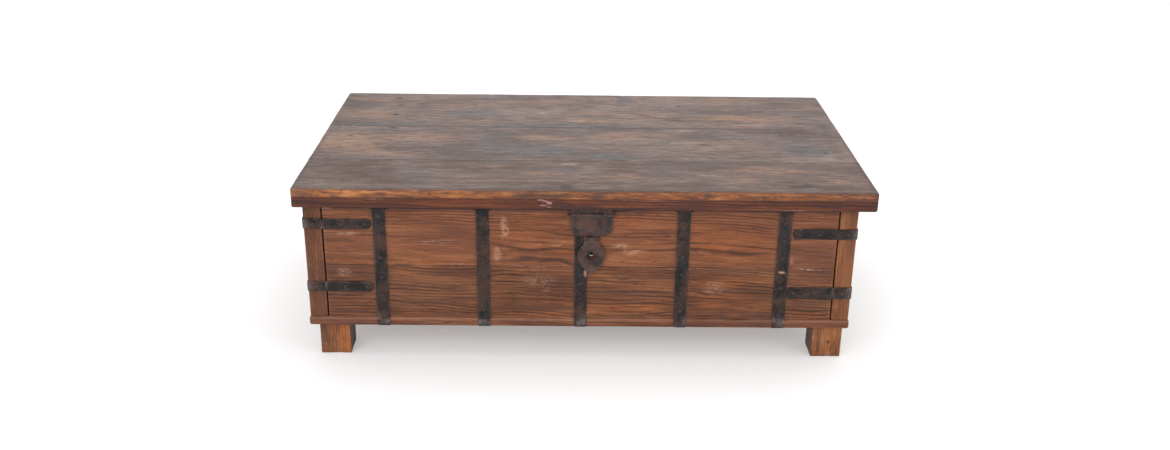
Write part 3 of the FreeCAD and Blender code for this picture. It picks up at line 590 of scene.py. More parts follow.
def foot_marks(p):
    """Grey streaks down the feet, painted shade on the inner faces, darkening towards the bottom edges,
    and a knot on the right front one.
    """
    streaks = 0.64 * smooth(noise3(p, (0.02, 0.02, 0.2), 81), 0.2, 0.8)
    inner_x = p[:, 0].max() if p[:, 0].mean() < 0 else p[:, 0].min()
    # The inner side face is painted near-black as shade.
    inner = np.abs(p[:, 0] - inner_x) < 0.1 * MM
    # The lowest 8 mm darkens towards the bottom.
    bottom_darkening = 0.7 * smooth(p[:, 2], 0.008, 0.0)
    grey = 0.75 * bell(p[:, 0] - FRONT_FOOT_LEFT - 12 * MM, 16 * MM) * (p[:, 2] > 0.028)
    sunny = 0.7 * bell(p[:, 0] - FRONT_FOOT_LEFT - 48 * MM, 18 * MM)
    right_low, right_high = node_box("foot_front_right")
    knot = np.array([right_low[0] + 0.56 * (right_high[0] - right_low[0]), right_low[1], 0.040])
    dark = np.maximum(np.maximum(np.clip(streaks + grey, 0, 0.85), 0.94 * inner), bottom_darkening)
    dark += smooth(np.linalg.norm(p - knot, axis=1), 6.5 * MM, 3.0 * MM)
    dark *= 1 - 0.8 * sunny * ~inner
    pale = 0.5 * smooth(noise3(p, (0.02, 0.02, 0.05), 82), 0.55, 0.95)
    warm = 0.9 * smooth(noise3(p, (0.03, 0.03, 0.2), 83), -0.1, 0.6) + sunny
    return np.stack([dark, pale, np.clip(warm, 0, 1)], axis=1)


def board(node, material, axis, steps, radius=2.0 * MM, pith=(0.0, 0.06), lean=0.03, marks=plain_marks,
          dents=0.35 * MM, tongue=0.0, low_wear=0.0):
    """A worn board in the place of a CAD node. steps are the mesh's spacings in mm along X, Y and Z;
    marks(p) gives dark, pale and warm amounts; tongue is how far the node's end tongues stand out,
    and low_wear rounds the bottom edges further."""
    low, high = node_box(node)
    along, _, depth = GRAIN_AXES[axis]
    low[along] += tongue
    high[along] -= tongue
    seed = name_seed(node)
    p, faces = box_grid([spaced(low[i], high[i], steps[i] * MM, radius * 1.4) for i in range(3)])
    worn = noise3(p, 0.035, seed)
    nick = smooth(noise3(p, 0.018, seed + 5), 0.62, 0.95)
    reach = radius * (1.0 + 0.45 * worn + 0.9 * nick)
    reach += low_wear * smooth(p[:, 2] - low[2], 0.02, 0) * (1 + 0.5 * worn)
    q = rounded(p, low, high, np.minimum(reach, 0.45 * np.min(high - low)))
    size = np.full(3, 0.03)
    size[along] = 0.12
    facing = (p >= high - TINY).astype(float) - (p <= low + TINY)
    q += facing * (noise3(p, size, seed + 11) - 1.0)[:, None] * dents * 0.5
    edge = edge_closeness(p, low, high, 7 * MM) * smooth(worn, -0.7, 0.5)
    colours = np.column_stack([marks(p), edge])
    colours[:, 0] += 0.35 * smooth(noise3(p, (0.20, 0.05, 0.05), seed + 21), 0.25, 0.9)
    if tongue:
        p, q, faces, colours = with_tongues(p, q, faces, colours, low, high, along, depth)
    new_piece(node, q, faces, material, grain=grain_places(p, axis, seed, pith, lean, low, high),
              marks=np.clip(colours, 0, 1))


def with_tongues(p, q, faces, colours, low, high, along, depth):
    """Add the tongues that cross the gaps between a plank and its posts, painted near-black as the shade
    in those gaps.
    """
    middle = (low[depth] + high[depth]) / 2
    left = (low[along] - SHADOW_GAP, low[along] + 2 * MM)
    right = (high[along] - 2 * MM, high[along] + SHADOW_GAP)
    for start, end in (left, right):
        tongue_low = low.copy()
        tongue_high = high.copy()
        tongue_low[along] = start
        tongue_high[along] = end
        tongue_low[depth] = middle - TONGUE_THICK / 2
        tongue_high[depth] = middle + TONGUE_THICK / 2
        tongue_low += UP * MM
        tongue_high -= UP * MM
        counts = (3, 3, 12)
        points, quads = box_grid([np.linspace(tongue_low[i], tongue_high[i], counts[i]) for i in range(3)])
        faces = faces + [[i + len(q) for i in quad] for quad in quads]
        p = np.vstack([p, points])
        q = np.vstack([q, points])
        # The tongues take a full dark amount: painted shade in the gaps.
        colours = np.vstack([colours, np.tile([1.0, 0.0, 0.0, 0.0], (len(points), 1))])
    return p, q, faces, colours


def make_walls():
    """Planks, posts, mouldings, floor and feet."""
    piths = {"front": ((0.10, 0.05), (0.015, 0.032)), "back": ((0.04, 0.04), (0.12, 0.06)),
             "left": ((0.06, 0.05), (0.02, 0.04)), "right": ((0.03, 0.045), (0.09, 0.05))}
    for side, layers in piths.items():
        axis = "x" if side in ("front", "back") else "y"
        steps = (4.5, 8.0, 2.6) if side == "front" else (8.0, 8.0, 5.0)
        marks = front_marks if side == "front" else plain_marks
        for layer, material, pith in zip(("upper", "lower"), (UPPER_WALL_WOOD, LOWER_WALL_WOOD), layers):
            board(side + "_" + layer + "_plank", material, axis, steps, 1.4 * MM, pith, 0.035, marks,
                  tongue=TONGUE_REACH)
    post_woods = {"front_left": DARK_POST_WOOD, "front_right": LIGHT_POST_WOOD, "back_left": LIGHT_POST_WOOD,
                  "back_right": DARK_POST_WOOD}
    for corner, material in post_woods.items():
        board("corner_post_" + corner, material, "z", (5.0, 5.0, 5.0), 2.8 * MM, (0.05, 0.03), 0.05)
    for side in ("front", "right", "back", "left"):
        moulding(side)
    for number in (1, 2, 3):
        board("floor_board_" + str(number), INSIDE_WOOD, "x", (14.0, 14.0, 14.0), pith=(0.03, 0.05))
    for corner in post_woods:
        board("foot_" + corner, FOOT_WOOD, "z", (3.0, 3.0, 3.0), 2.4 * MM, (0.02, 0.03), 0.12, foot_marks,
              dents=0.4 * MM, low_wear=0.8 * MM)


def moulding(side):
    """One side of the base moulding: a rounded nose outside, mitred ends, and the nose's upper shoulder
    lighter, both rubbed and a painted highlight.
    """
    node = "base_moulding_" + side
    low, high = node_box(node)
    axis = "x" if side in ("front", "back") else "y"
    along, depth, _ = GRAIN_AXES[axis]
    inward = 1.0 if side in ("front", "left") else -1.0
    outer = low[depth] if inward > 0 else high[depth]
    seed = name_seed(node)
    nose = 8 * MM
    axes = [spaced(low[i], high[i], (6 if i == along else 9) * MM, nose) for i in (0, 1)]
    p, faces = box_grid(axes + [np.linspace(low[2], high[2], 15)])
    # An end's face follows the rounded rim, drawn in towards the middle of the section.
    section = [depth, 2]
    middle = (low + high)[section] / 2
    half_section = (high - low)[section] / 2
    share = np.maximum(np.abs((p[:, section] - middle) / half_section).max(axis=1), TINY)[:, None]
    rim = p.copy()
    rim[:, section] = middle + (p[:, section] - middle) / share
    inset = (p[:, depth] - outer) * inward
    rim_inset = (rim[:, depth] - outer) * inward
    worn = noise3(p, 0.04, seed)
    nick = smooth(noise3(p, 0.016, seed + 3), 0.6, 0.95)
    under_nose = 3.6 * MM
    above = smooth(rim[:, 2], low[2] + 8 * MM, low[2] + 12 * MM)
    nose_here = (under_nose + above * (nose - under_nose)) * (1.0 + 0.14 * worn) + nick * 2.2 * MM
    radius = np.where(rim_inset < (high - low)[depth] / 2, nose_here, 1.0 * MM)
    beyond = np.zeros(3)
    beyond[along] = FAR
    q = rounded(rim, low - beyond, high + beyond, radius)
    q[:, section] = middle + (q[:, section] - middle) * share
    centre = (low[along] + high[along]) / 2
    half = (high[along] - low[along]) / 2
    q[:, along] = centre + (p[:, along] - centre) * (half - inset) / half
    q = rounded_corner(q, along, depth, centre, half, inset, 9 * MM, inward)
    q[:, depth] -= inward * (noise3(p, 0.05, seed + 9) - 1.0) * 0.35 * MM * (inset < 4 * MM)
    dark = 0.8 * smooth(noise3(p, (0.09, 0.09, 0.02), seed + 4), 0.2, 0.8)
    pale = 0.5 * smooth(noise3(p, (0.04, 0.04, 0.01), seed + 6), 0.5, 0.95) * (p[:, 2] > low[2] + 10 * MM)
    warm = 0.8 * smooth(noise3(p, (0.12, 0.12, 0.02), seed + 8), 0.0, 0.8)
    # The upper shoulder of the nose takes the worn colour: rubbing, and a painted highlight where light
    # falls on its top.
    worn_and_lit_shoulder = smooth(p[:, 2], low[2] + 12 * MM, high[2]) * smooth(inset, 11 * MM, 6 * MM)
    edge = np.clip(worn_and_lit_shoulder * (0.75 + 0.5 * worn), 0, 1)
    new_piece(node, q, faces, MOULDING_WOOD, marks=np.stack([dark, pale, warm, edge], axis=1),
              grain=grain_places(p, axis, seed, (0.05, 0.05), 0.03, low, high))


def rounded_corner(q, along, depth, centre, half, inset, radius, inward):
    """Round a mitred bar's outer corners in plan; the next bar's end rounds to match."""
    end = half - np.abs(q[:, along] - centre)
    a = radius - end
    b = radius - inset
    near = (a > 0) & (b > 0)
    reach = np.maximum(np.sqrt(a * a + b * b), 1e-9)
    scale = np.where(near, np.maximum(a, b) / reach, 1.0)
    q[:, along] += np.where(near, (a - a * scale) * -np.sign(q[:, along] - centre), 0)
    q[:, depth] += np.where(near, (b - b * scale) * inward, 0)
    return q


# ---------------------------------------------------------------- lid

LID_TOP = node_box("lid_board_back")[1][2]
LID_ROUND = 4.5 * MM
LID_ARRIS = 0.7 * MM
LID_CORNER = 7 * MM

# Marks on the lid's top, in mm in the frame, and the places of its diagonal crack.
LID_WARM = (
    (-560, 190, 110, 50, 0.65), (-590, -60, 110, 120, 0.85), (-430, -10, 150, 60, 0.75),
    (-480, -140, 120, 30, 0.45), (-100, 0, 90, 30, 0.6), (110, 10, 150, 50, 0.75), (40, 150, 140, 24, 0.9),
    (30, 205, 120, 16, 0.85), (180, 190, 90, 44, 0.7), (440, 180, 170, 50, 0.85), (400, 110, 120, 24, 0.6),
    (350, -60, 130, 60, 0.5), (450, -250, 170, 30, 0.8), (600, -300, 90, 50, 0.9), (370, -310, 60, 30, 0.7),
    (-110, -280, 80, 16, 0.8), (-150, -230, 180, 18, 0.5), (-330, 270, 130, 44, 0.5),
    (-560, 340, 140, 34, 0.55), (-200, -340, 220, 20, 0.45), (-150, 330, 160, 40, 0.45),
    (350, 355, 190, 34, 0.5), (380, 315, 160, 9, 0.7), (-330, -310, 60, 26, 0.45), (60, -310, 160, 34, 0.5),
    (-250, 130, 120, 16, 0.5), (600, 300, 60, 90, 0.35),
)
LID_COLD = (
    (-290, 205, 90, 50, 0.85), (-240, 365, 120, 50, 0.7), (70, -150, 110, 34, 1),
    (-150, -100, 210, 56, 0.85), (560, -80, 110, 70, 1), (570, 235, 90, 24, 0.9), (560, 30, 90, 50, 0.6),
    (-230, 10, 60, 80, 0.75), (-500, 96, 200, 22, 0.9), (-60, 95, 160, 26, 0.85), (250, 85, 330, 16, 0.6),
    (115, 340, 30, 80, 0.65), (-440, -265, 120, 50, 0.7), (-400, -340, 130, 34, 0.75),
    (-60, -255, 60, 44, 0.7), (190, -260, 60, 60, 0.75), (10, 178, 26, 22, 1), (600, 380, 90, 40, 0.55),
    (-620, -220, 60, 20, 0.6), (-200, 110, 60, 50, 0.6), (-10, 50, 60, 40, 0.5), (240, 240, 60, 40, 0.6),
    (640, 120, 30, 90, 0.6), (300, -170, 80, 20, 0.5),
)
LID_BROWN = (
    (-560, -260, 160, 60, 0.7), (-300, -240, 200, 40, 0.6), (-60, -350, 700, 22, 0.35),
    (80, -250, 120, 34, 0.5), (-520, -330, 180, 34, 0.5), (520, -360, 170, 24, 0.6),
    (430, 350, 160, 14, 0.55), (-500, 250, 150, 14, 0.5), (-330, 340, 90, 24, 0.5), (560, 50, 60, 60, 0.7),
    (590, -20, 50, 40, 0.6), (-530, -80, 40, 40, 0.5), (250, -215, 300, 14, 0.6),
    (-400, -200, 320, 12, 0.6), (100, -60, 180, 16, 0.5), (-350, -60, 120, 18, 0.4),
    (420, 240, 160, 9, 0.5), (640, 0, 22, 300, 0.4), (-655, 0, 12, 300, 0.4), (0, -392, 660, 8, 0.8),
    (430, -20, 260, 220, 0.22), (480, 60, 120, 14, 0.5), (330, -110, 90, 12, 0.4),
)
LID_DARK = (
    (-526, 347, 9, 12, 2), (-510, 276, 11, 9, 2), (-512, 188, 8, 12, 2), (-504, 71, 14, 8, 2),
    (545, 384, 11, 8, 2), (265, 292, 9, 10, 2), (519, -344, 15, 16, 2), (-44, -370, 18, 17, 2),
    (80, -370, 12, 7, 0.6), (515, 40, 14, 34, 0.7), (545, -12, 10, 9, 2), (604, -110, 7, 11, 2),
    (-604, 0, 7, 7, 2), (-520, -70, 7, 7, 2), (15, -52, 80, 3, 0.9), (120, -70, 50, 3, 0.9),
    (-620, -196, 80, 9, 0.6), (-300, 84, 400, 3.5, 0.9), (330, 84, 360, 3.5, 0.9),
    (-300, -187, 400, 3.5, 0.7), (300, -187, 380, 3.5, 0.7), (-240, 76, 40, 9, 0.5),
    (500, 60, 60, 16, 0.45), (20, 345, 14, 60, 0.3), (180, 76, 140, 3, 0.8), (-30, 224, 60, 2.5, 0.8),
    (-560, 383, 90, 3, 0.7), (300, -383, 340, 3, 0.7), (-300, -384, 300, 3, 0.7), (420, 60, 160, 3, 0.6),
    (-420, 60, 140, 3, 0.5), (560, 330, 80, 3, 0.5),
)
LID_PALE = (
    (-118, 216, 22, 7, 0.9), (270, 68, 80, 3.5, 0.7), (240, 60, 50, 3, 0.6), (-40, -211, 34, 8, 0.7),
    (300, -285, 40, 5, 0.8), (-560, 250, 50, 6, 0.4), (440, 120, 90, 8, 0.4), (40, -205, 30, 4, 0.5),
    (-200, 200, 40, 3, 0.4), (-410, -110, 90, 3, 0.5), (-100, -330, 70, 3, 0.5), (380, 10, 90, 4, 0.4),
    (-560, 0, 90, 3, 0.5), (-90, -18, 60, 3, 0.4), (320, -110, 90, 3, 0.4), (-60, 92, 60, 3, 0.4),
)
CRACK = ((130, 222), (165, 205), (205, 176), (242, 160), (292, 132))

# Marks on the lid's front edge, in mm along and up: on the boards, then on the rail with its chip.
BOARD_EDGE_DARK = (
    (-70, 432, 60, 12, 0.5), (30, 430, 24, 14, 0.8), (280, 434, 16, 9, 0.8), (-500, 424, 120, 5, 0.5),
    (-655, 428, 30, 12, 0.6), (600, 424, 90, 5, 0.4),
)
RAIL_DARK = (
    (-55, 409, 26, 12, 0.85), (-640, 410, 40, 14, 0.5), (560, 412, 60, 10, 0.6), (10, 404, 30, 8, 0.5),
    (330, 405, 60, 8, 0.5), (200, 400, 60, 5, 0.4), (-30, 404, 30, 8, 0.6),
)
RAIL_PALE = (
    (-103, 420.5, 11, 2.6, 1.4), (-92, 417, 10, 2.6, 1.4), (-83, 413, 9, 4.6, 1.5), (-95, 407, 12, 2.6, 1.3),
    (-82, 403, 8, 2.2, 1.2), (480, 399, 40, 2.5, 0.6), (-480, 419, 30, 2, 0.4), (120, 420, 90, 1.5, 0.4),
)
CHIP_HOLLOWS = ((-103, 414.5, 11, 3, 1.4), (-94, 411.5, 9, 3, 1.4))
CHIP_STRETCH = (-120.0, -66.0)


def crack_depth(p):
    """How much of the lid's diagonal crack a point holds, from 0 to 1."""
    total = np.zeros(len(p))
    for start, end in zip(CRACK, CRACK[1:]):
        start = np.array(start) * MM
        run = np.array(end) * MM - start
        share = np.clip(((p[:, :2] - start) @ run) / (run @ run), 0, 1)
        gap = np.linalg.norm(p[:, :2] - start - share[:, None] * run, axis=1)
        total = np.maximum(total, smooth(gap, 3.2 * MM, 0.8 * MM))
    return total


def side_gaps(p, low, high):
    """Distances in from the low x, high x, low y and high y sides."""
    return np.stack([p[:, 0] - low[0], high[0] - p[:, 0], p[:, 1] - low[1], high[1] - p[:, 1]], axis=1)


def inward_from(gaps):
    """The directions in from the nearer x side and from the nearer y side."""
    return np.where(gaps[:, 0::2] < gaps[:, 1::2], 1.0, -1.0)


def outer_rounding(p, low, high, top_round, open_sides):
    """Round the lid's outline: top_round at the upper edge, an arris at the lower, and the corners in
    plan. open_sides says which of the low x, high x, low y and high y sides are the lid's own outline."""
    gaps = np.where(open_sides, side_gaps(p, low, high), FAR)
    x_gap = gaps[:, :2].min(axis=1)
    y_gap = gaps[:, 2:].min(axis=1)
    side_gap = np.minimum(x_gap, y_gap)
    upper = high[2] - p[:, 2] < p[:, 2] - low[2]
    z_gap = np.where(upper, high[2] - p[:, 2], p[:, 2] - low[2])
    r = np.where(upper, top_round, LID_ARRIS)
    a = r - np.minimum(side_gap, r)
    b = r - np.minimum(z_gap, r)
    reach = np.sqrt(a * a + b * b)
    inside = (a > 0) & (b > 0) | (a >= r - 1e-9) & (b > 0) | (b >= r - 1e-9) & (a > 0)
    grow = np.where((reach > 1e-9) & inside, r / np.maximum(reach, 1e-9), 1.0)
    new_gap = np.where(inside, r - a * grow, side_gap)
    new_z_gap = np.where(inside, r - b * grow, z_gap)
    q = p.copy()
    q[:, 2] = np.where(upper, high[2] - new_z_gap, low[2] + new_z_gap)
    inward = inward_from(gaps)
    corner = (x_gap < LID_CORNER) & (y_gap < LID_CORNER)
    from_centre = np.maximum(np.hypot(LID_CORNER - x_gap, LID_CORNER - y_gap), 1e-9)
    by_x = x_gap <= y_gap
    for axis, gap, nearest in ((0, x_gap, by_x), (1, y_gap, ~by_x)):
        corner_gap = LID_CORNER - (LID_CORNER - gap) / from_centre * (LID_CORNER - new_gap)
        straight = np.where(nearest, new_gap - side_gap, 0)
        q[:, axis] += np.where(corner, corner_gap - gap, straight) * inward[:, axis]
    return q


def lid_piece(node, material, axis, open_sides, steps, pith, lean, fine=None):
    """A board or rail of the lid: its part of the outline is rounded, worn and wavy. steps are the
    mesh's spacings in mm along X, Y and Z; fine is a stretch of X in mm that takes a closer mesh."""
    low, high = node_box(node)
    seed = name_seed(node)
    is_board = node.startswith("lid_board")
    levels = int(round((high[2] - low[2]) / (steps[2] * MM))) + 1
    axes = [spaced(low[i], high[i], steps[i] * MM, 5 * MM) for i in (0, 1)]
    axes.append(np.linspace(low[2], high[2], levels))
    if fine:
        start, end = fine
        outside = axes[0][(axes[0] < (start - 0.5) * MM) | (axes[0] > (end - 0.5) * MM)]
        axes[0] = np.sort(np.concatenate([outside, np.arange(start, end, 1.5) * MM]))
    p, faces = box_grid(axes)
    worn = noise3(p, 0.06, seed)
    nick = smooth(noise3(p, 0.022, seed + 3), 0.66, 0.95)
    # A rail is rounded upside down, because its outer edge is the lower one.
    flip = np.array([1.0, 1.0, 1.0 if is_board else -1.0])
    flipped_low, flipped_high = np.sort([low * flip, high * flip], axis=0)
    outer_round = LID_ROUND * (1 + 0.35 * worn) + nick * 2.0 * MM
    q = outer_rounding(p * flip, flipped_low, flipped_high, outer_round, open_sides) * flip
    gaps = side_gaps(p, low, high)
    on_face = np.abs(p[:, 2] - (high[2] if is_board else low[2])) < TINY
    for side in np.flatnonzero(np.logical_not(open_sides)):
        q[:, 2] -= 0.9 * MM * flip[2] * on_face * (gaps[:, side] < 1.0 * MM)
    outline = np.where(open_sides, gaps, FAR).min(axis=1)
    wave = noise3(p, (0.16, 0.16, 0.5), 40) * 0.5 + noise3(p, (0.05, 0.05, 0.02), seed + 7) * 0.35 - 0.8
    outward = -inward_from(gaps) * (wave * smooth(outline, 10 * MM, 0) * 0.7 * MM)[:, None]
    by_x = gaps[:, :2].min(axis=1) < gaps[:, 2:].min(axis=1)
    q[:, 0] += outward[:, 0] * by_x
    q[:, 1] += outward[:, 1] * ~by_x
    if is_board:
        layers = board_finish(p, q, low, high, gaps, outline, worn, seed)
    else:
        layers = rail_finish(p, q, low, outline, seed)
    new_piece(node, q, faces, material, grain=grain_places(p, axis, seed, pith, lean, low, high), **layers)


def board_finish(p, q, low, high, gaps, outline, worn, seed):
    """Dent a top board and open its crack in q; give its marks, with a painted highlight line along the
    side faces below the top edge, and its cold and brown amounts.
    """
    on_top = p[:, 2] > high[2] - TINY
    underside = p[:, 2] < low[2] + TINY
    crack = crack_depth(p)
    dips = noise3(p, (0.30, 0.05, 1.0), seed + 13) * 0.5 + noise3(p, (0.09, 0.02, 1.0), seed + 15) * 0.25
    q[:, 2] += on_top * ((dips - 0.75) * 0.7 - crack * 1.6) * MM

    def by_face(top, under, side):
        """One of three values, by the face of the board that a point is on."""
        return np.where(on_top, top, np.where(underside, under, side))

    ragged = wandering(p, 12 * MM, 0.07, 51)
    rim = 0.6 * smooth(outline, 14 * MM, 5 * MM) * (p[:, 1] < 0)
    top_dark = np.maximum(spots(p, LID_DARK, PLAN) + crack * 0.9, rim)
    seam = 0.9 * smooth(gaps[:, 2:].min(axis=1), 5 * MM, 1 * MM)
    edge_dark = spots(p, BOARD_EDGE_DARK, FACE) * in_front(p)
    edge_dark += 0.5 * smooth(noise3(p, (0.07, 0.07, 0.012), 95), 0.3, 0.8)
    top_pale = spots(wandering(p, 2.5 * MM, 0.03, 55), LID_PALE, PLAN)
    # Painted highlight: a pale line along the side faces just below the rounded top edge.
    highlight_line = bell(high[2] - 6.0 * MM - p[:, 2], 2.2 * MM) * (0.35 + 0.45 * worn)
    edge_pale_and_highlight = 0.44 * smooth(noise3(p, (0.06, 0.06, 0.01), 91), 0.35, 0.9) + highlight_line
    arris = smooth(-outline, -LID_ROUND * (1 + 0.5 * worn), -2.0 * MM)
    marks = np.stack([by_face(top_dark, seam, edge_dark), by_face(top_pale, 0.0, np.clip(edge_pale_and_highlight, 0, 0.7)),
                      spots(ragged, LID_WARM, PLAN), by_face(arris, 0.46, 1.0)], axis=1)
    front_board = 0.46 * smooth(p[:, 1], -0.184, -0.190)
    return {"marks": np.clip(marks, 0, 1), "cold": np.clip(spots(ragged, LID_COLD, PLAN), 0, 1),
            "brown": np.clip(spots(ragged, LID_BROWN, PLAN) + front_board, 0, 1)}


def rail_finish(p, q, low, outline, seed):
    """Hollow out the chip of the front rail in q; give a rail's marks, with a painted near-black shade
    along the rail's lower outer edge.
    """
    hollow = spots(p, CHIP_HOLLOWS, FACE) * in_front(p)
    q[:, 1] += 1.3 * MM * np.clip(hollow, 0, 1) * (p[:, 1] <= low[1] + TINY)
    dark = 0.85 * smooth(noise3(p, (0.12, 0.12, 0.03), seed + 4), 0.15, 0.8)
    dark += spots(p, RAIL_DARK, FACE) * in_front(p) + hollow
    # Painted shade: the lowest 4.5 mm at the rail's outer edge turns near-black, the lid's shadow line.
    soffit_shade = smooth(p[:, 2], low[2] + 4.5 * MM, low[2] + 0.5 * MM) * smooth(outline, 6 * MM, 1 * MM)
    dark = np.maximum(np.minimum(dark, 0.88), 0.97 * soffit_shade)
    pale = spots(p, RAIL_PALE, FACE) * in_front(p)
    warm = 0.7 * smooth(noise3(p, (0.16, 0.16, 0.02), seed + 8), 0.1, 0.8)
    return {"marks": np.clip(np.stack([dark, pale, warm, np.zeros(len(p))], axis=1), 0, 1)}


def in_front(p):
    """True for points at the front of the chest."""
    return p[:, 1] < -0.35


def make_lid():
    """Three top boards, four rails under their outline, and two battens."""
    boards = {
        "front": ((True, True, True, False), (0.05, 0.05), 0.03),
        "middle": ((True, True, False, False), (-0.02, 0.045), 0.02),
        "back": ((True, True, False, True), (0.08, 0.06), -0.03),
    }
    for name, (open_sides, pith, lean) in boards.items():
        lid_piece("lid_board_" + name, LID_WOOD, "x", open_sides, (4.5, 4.0, 2.0), pith, lean)
    rails = {
        "front": ("x", (True, True, True, False), CHIP_STRETCH),
        "back": ("x", (True, True, False, True), None),
        "left": ("y", (True, False, False, False), None),
        "right": ("y", (False, True, False, False), None),
    }
    for name, (axis, open_sides, fine) in rails.items():
        lid_piece("lid_rail_" + name, RAIL_WOOD, axis, open_sides, (5.0, 5.0, 1.6), (0.06, 0.04), 0.02, fine)
    for name in ("left", "right"):
        board("lid_batten_" + name, INSIDE_WOOD, "y", (10.0, 10.0, 10.0))


# ---------------------------------------------------------------- ironwork

WALLS = {
    "front": (np.array([BODY_X, FRONT_Y, 0.0]), np.array([0.0, -1.0, 0.0])),
    "back": (np.array([BODY_X, BACK_Y, 0.0]), np.array([0.0, 1.0, 0.0])),
}
BASE_LOW = MOULDING_LOW[2]
BASE_HIGH = MOULDING_HIGH[2]
STRAP_LOW, STRAP_HIGH = node_box("front_strap_1")
STRAP_WIDTH = STRAP_HIGH[0] - STRAP_LOW[0]
STRAP_THICK = 2.5 * MM
NAIL_REST = 0.9 * STRAP_THICK
NOSE_REACH = 4 * MM
NOSE_ROUND = 8 * MM
# Spots of bare metal or paint on two straps, in mm: across, up, half width and half height.
BARE_SPOTS = {3: (11.0, 226.0, 4.2, 10.0), 5: (0.0, 232.0, 9.0, 4.0)}
# The hinges' places along the back, as seen from behind, and the height of their lowest nails.
HINGE_PLACES = (-355.0, 120.0, 358.0)
HINGE_NAIL_LOW = 345.5
# A corner strap's nails: two from the corner, and one from each end of the strap.
CORNER_NAILS = (21.0, 88.0)
CORNER_TIP_NAIL = 15.0
POST_GAP = 43.5 * MM
CORNER_SIDES = {"front_left": (LEFT_X, FRONT_Y, 1, 1), "front_right": (RIGHT_X, FRONT_Y, -1, 1),
                "back_left": (LEFT_X, BACK_Y, 1, -1), "back_right": (RIGHT_X, BACK_Y, -1, -1)}


def swept_bar(path, outward, across, width, seed, tip=0.0):
    """Points and quads of a flat hammered bar, with each point's row along the path, place across
    (-1 to 1) and place through the bar (0 to 1). path holds points on the wood's face and outward
    the normals there; across is the direction of the width; tip is the length over which an end rounds."""
    path = np.asarray(path)
    outward = np.asarray(outward)
    place = np.concatenate([[0], np.cumsum(np.linalg.norm(np.diff(path, axis=0), axis=1))])
    narrow = np.ones(len(path))
    if tip:
        short = np.clip(1 - np.minimum(place, place[-1] - place) / tip, 0, 1)
        narrow = 0.35 + 0.65 * np.sqrt(1 - short * short)
    ring = [(v, 1.0 - 0.22 * max(0.0, (abs(v) - 0.86) / 0.14) ** 2) for v in np.linspace(-1, 1, 9)]
    ring += [(1.0, 0.35), (0.97, -0.25), (-0.97, -0.25), (-1.0, 0.35)]
    count = len(ring)
    rows = np.repeat(np.arange(len(path)), count)
    sides, outs = np.tile(ring, (len(path), 1)).T
    line = place[:, None] * RUN
    sway = noise3(line, (0.03, 0.5, 1.0), seed) * 0.45 * MM
    flare = noise3(line + 0.3, (0.045, 0.5, 1.0), seed + 2) * 0.5 * MM
    faced = np.stack([place[rows], sides * 0.011, outs * 0.001], axis=1)
    beaten = noise3(faced, (0.016, 0.007, 0.02), seed + 4) * 0.22 * MM * (outs > 0.5)
    side = sides * (width / 2 * narrow + flare)[rows] + sway[rows]
    verts = path[rows] + across * side[:, None] + outward[rows] * (outs * STRAP_THICK + beaten)[:, None]
    faces = []
    for i, j in itertools.product(range(len(path) - 1), range(count)):
        k = (j + 1) % count
        faces.append((i * count + j, i * count + k, (i + 1) * count + k, (i + 1) * count + j))
    faces.append(tuple(range(count))[::-1])
    faces.append(tuple(range(len(verts) - count, len(verts))))
    return verts, faces, rows, sides, outs


def upright_path():
    """Places (out, up) and normals down a wall, over the moulding's nose and in under it."""
    points = [(0.0, z) for z in np.arange(STRAP_HIGH[2], BASE_HIGH + 10 * MM, -4.5 * MM)]
    normals = [(1.0, 0.0)] * len(points)
    points += [(0.3 * MM, BASE_HIGH + 6 * MM), (0.8 * MM, BASE_HIGH + 2 * MM)]
    points.append((1.8 * MM, BASE_HIGH - 1.4 * MM))
    normals += [(0.98, 0.10), (0.94, 0.30), (0.87, 0.49)]
    for centre_z, first, last in ((BASE_HIGH - NOSE_ROUND, 42, 0), (BASE_LOW + NOSE_ROUND, 0, -90)):
        points += arc(NOSE_REACH - NOSE_ROUND, centre_z, NOSE_ROUND, NOSE_ROUND, first, last, 7)
        normals += arc(0.0, 0.0, 1.0, 1.0, first, last, 7)
    under = (6, 12, 18, 25)
    points += [(-inward * MM, BASE_LOW) for inward in under]
    normals += [(0.0, -1.0)] * len(under)
    return np.array(points), np.array(normals)


def upright_strap(side, x, seed, bare=None):
    """One upright strap's points, faces and marks; bare is one of BARE_SPOTS."""
    origin, out = WALLS[side]
    points, normals = upright_path()
    path = origin + RUN * x * MM + points[:, :1] * out + points[:, 1:] * UP
    outward = normals[:, :1] * out + normals[:, 1:] * UP
    verts, faces, rows, sides, outs = swept_bar(path, outward, RUN, STRAP_WIDTH, seed)
    if side == "back":
        faces = [face[::-1] for face in faces]
    bend = bell(points[rows, 1] - (BASE_HIGH - 8 * MM), 12 * MM)
    patchy = smooth(noise3(verts, 0.012, seed + 6), -0.6, 0.6)
    edge = smooth(np.abs(sides), 0.8, 1.0) * (outs > 0.3)
    marks = np.zeros((len(verts), 4))
    marks[:, 0] = np.clip((0.85 * bend + 0.38 * edge) * patchy, 0, 1)
    marks[:, 1] = smooth(noise3(verts, (0.03, 0.03, 0.06), seed + 7), 0.0, 0.8)
    if bare:
        across, up, half_width, half_height = (value * MM for value in bare)
        gap = np.hypot((sides * STRAP_WIDTH / 2 - across) / half_width, (verts[:, 2] - up) / half_height)
        marks[:, 2] = smooth(gap, 1.0, 0.5)
    return verts, faces, marks


def iron_piece(node, groups, material):
    """A node's piece from several (points, faces, marks) groups."""
    verts = []
    faces = []
    for points, group_faces, _ in groups:
        faces += [tuple(i + len(verts) for i in face) for face in group_faces]
        verts += list(points)
    new_piece(node, verts, faces, material, marks=np.concatenate([marks for _, _, marks in groups]))


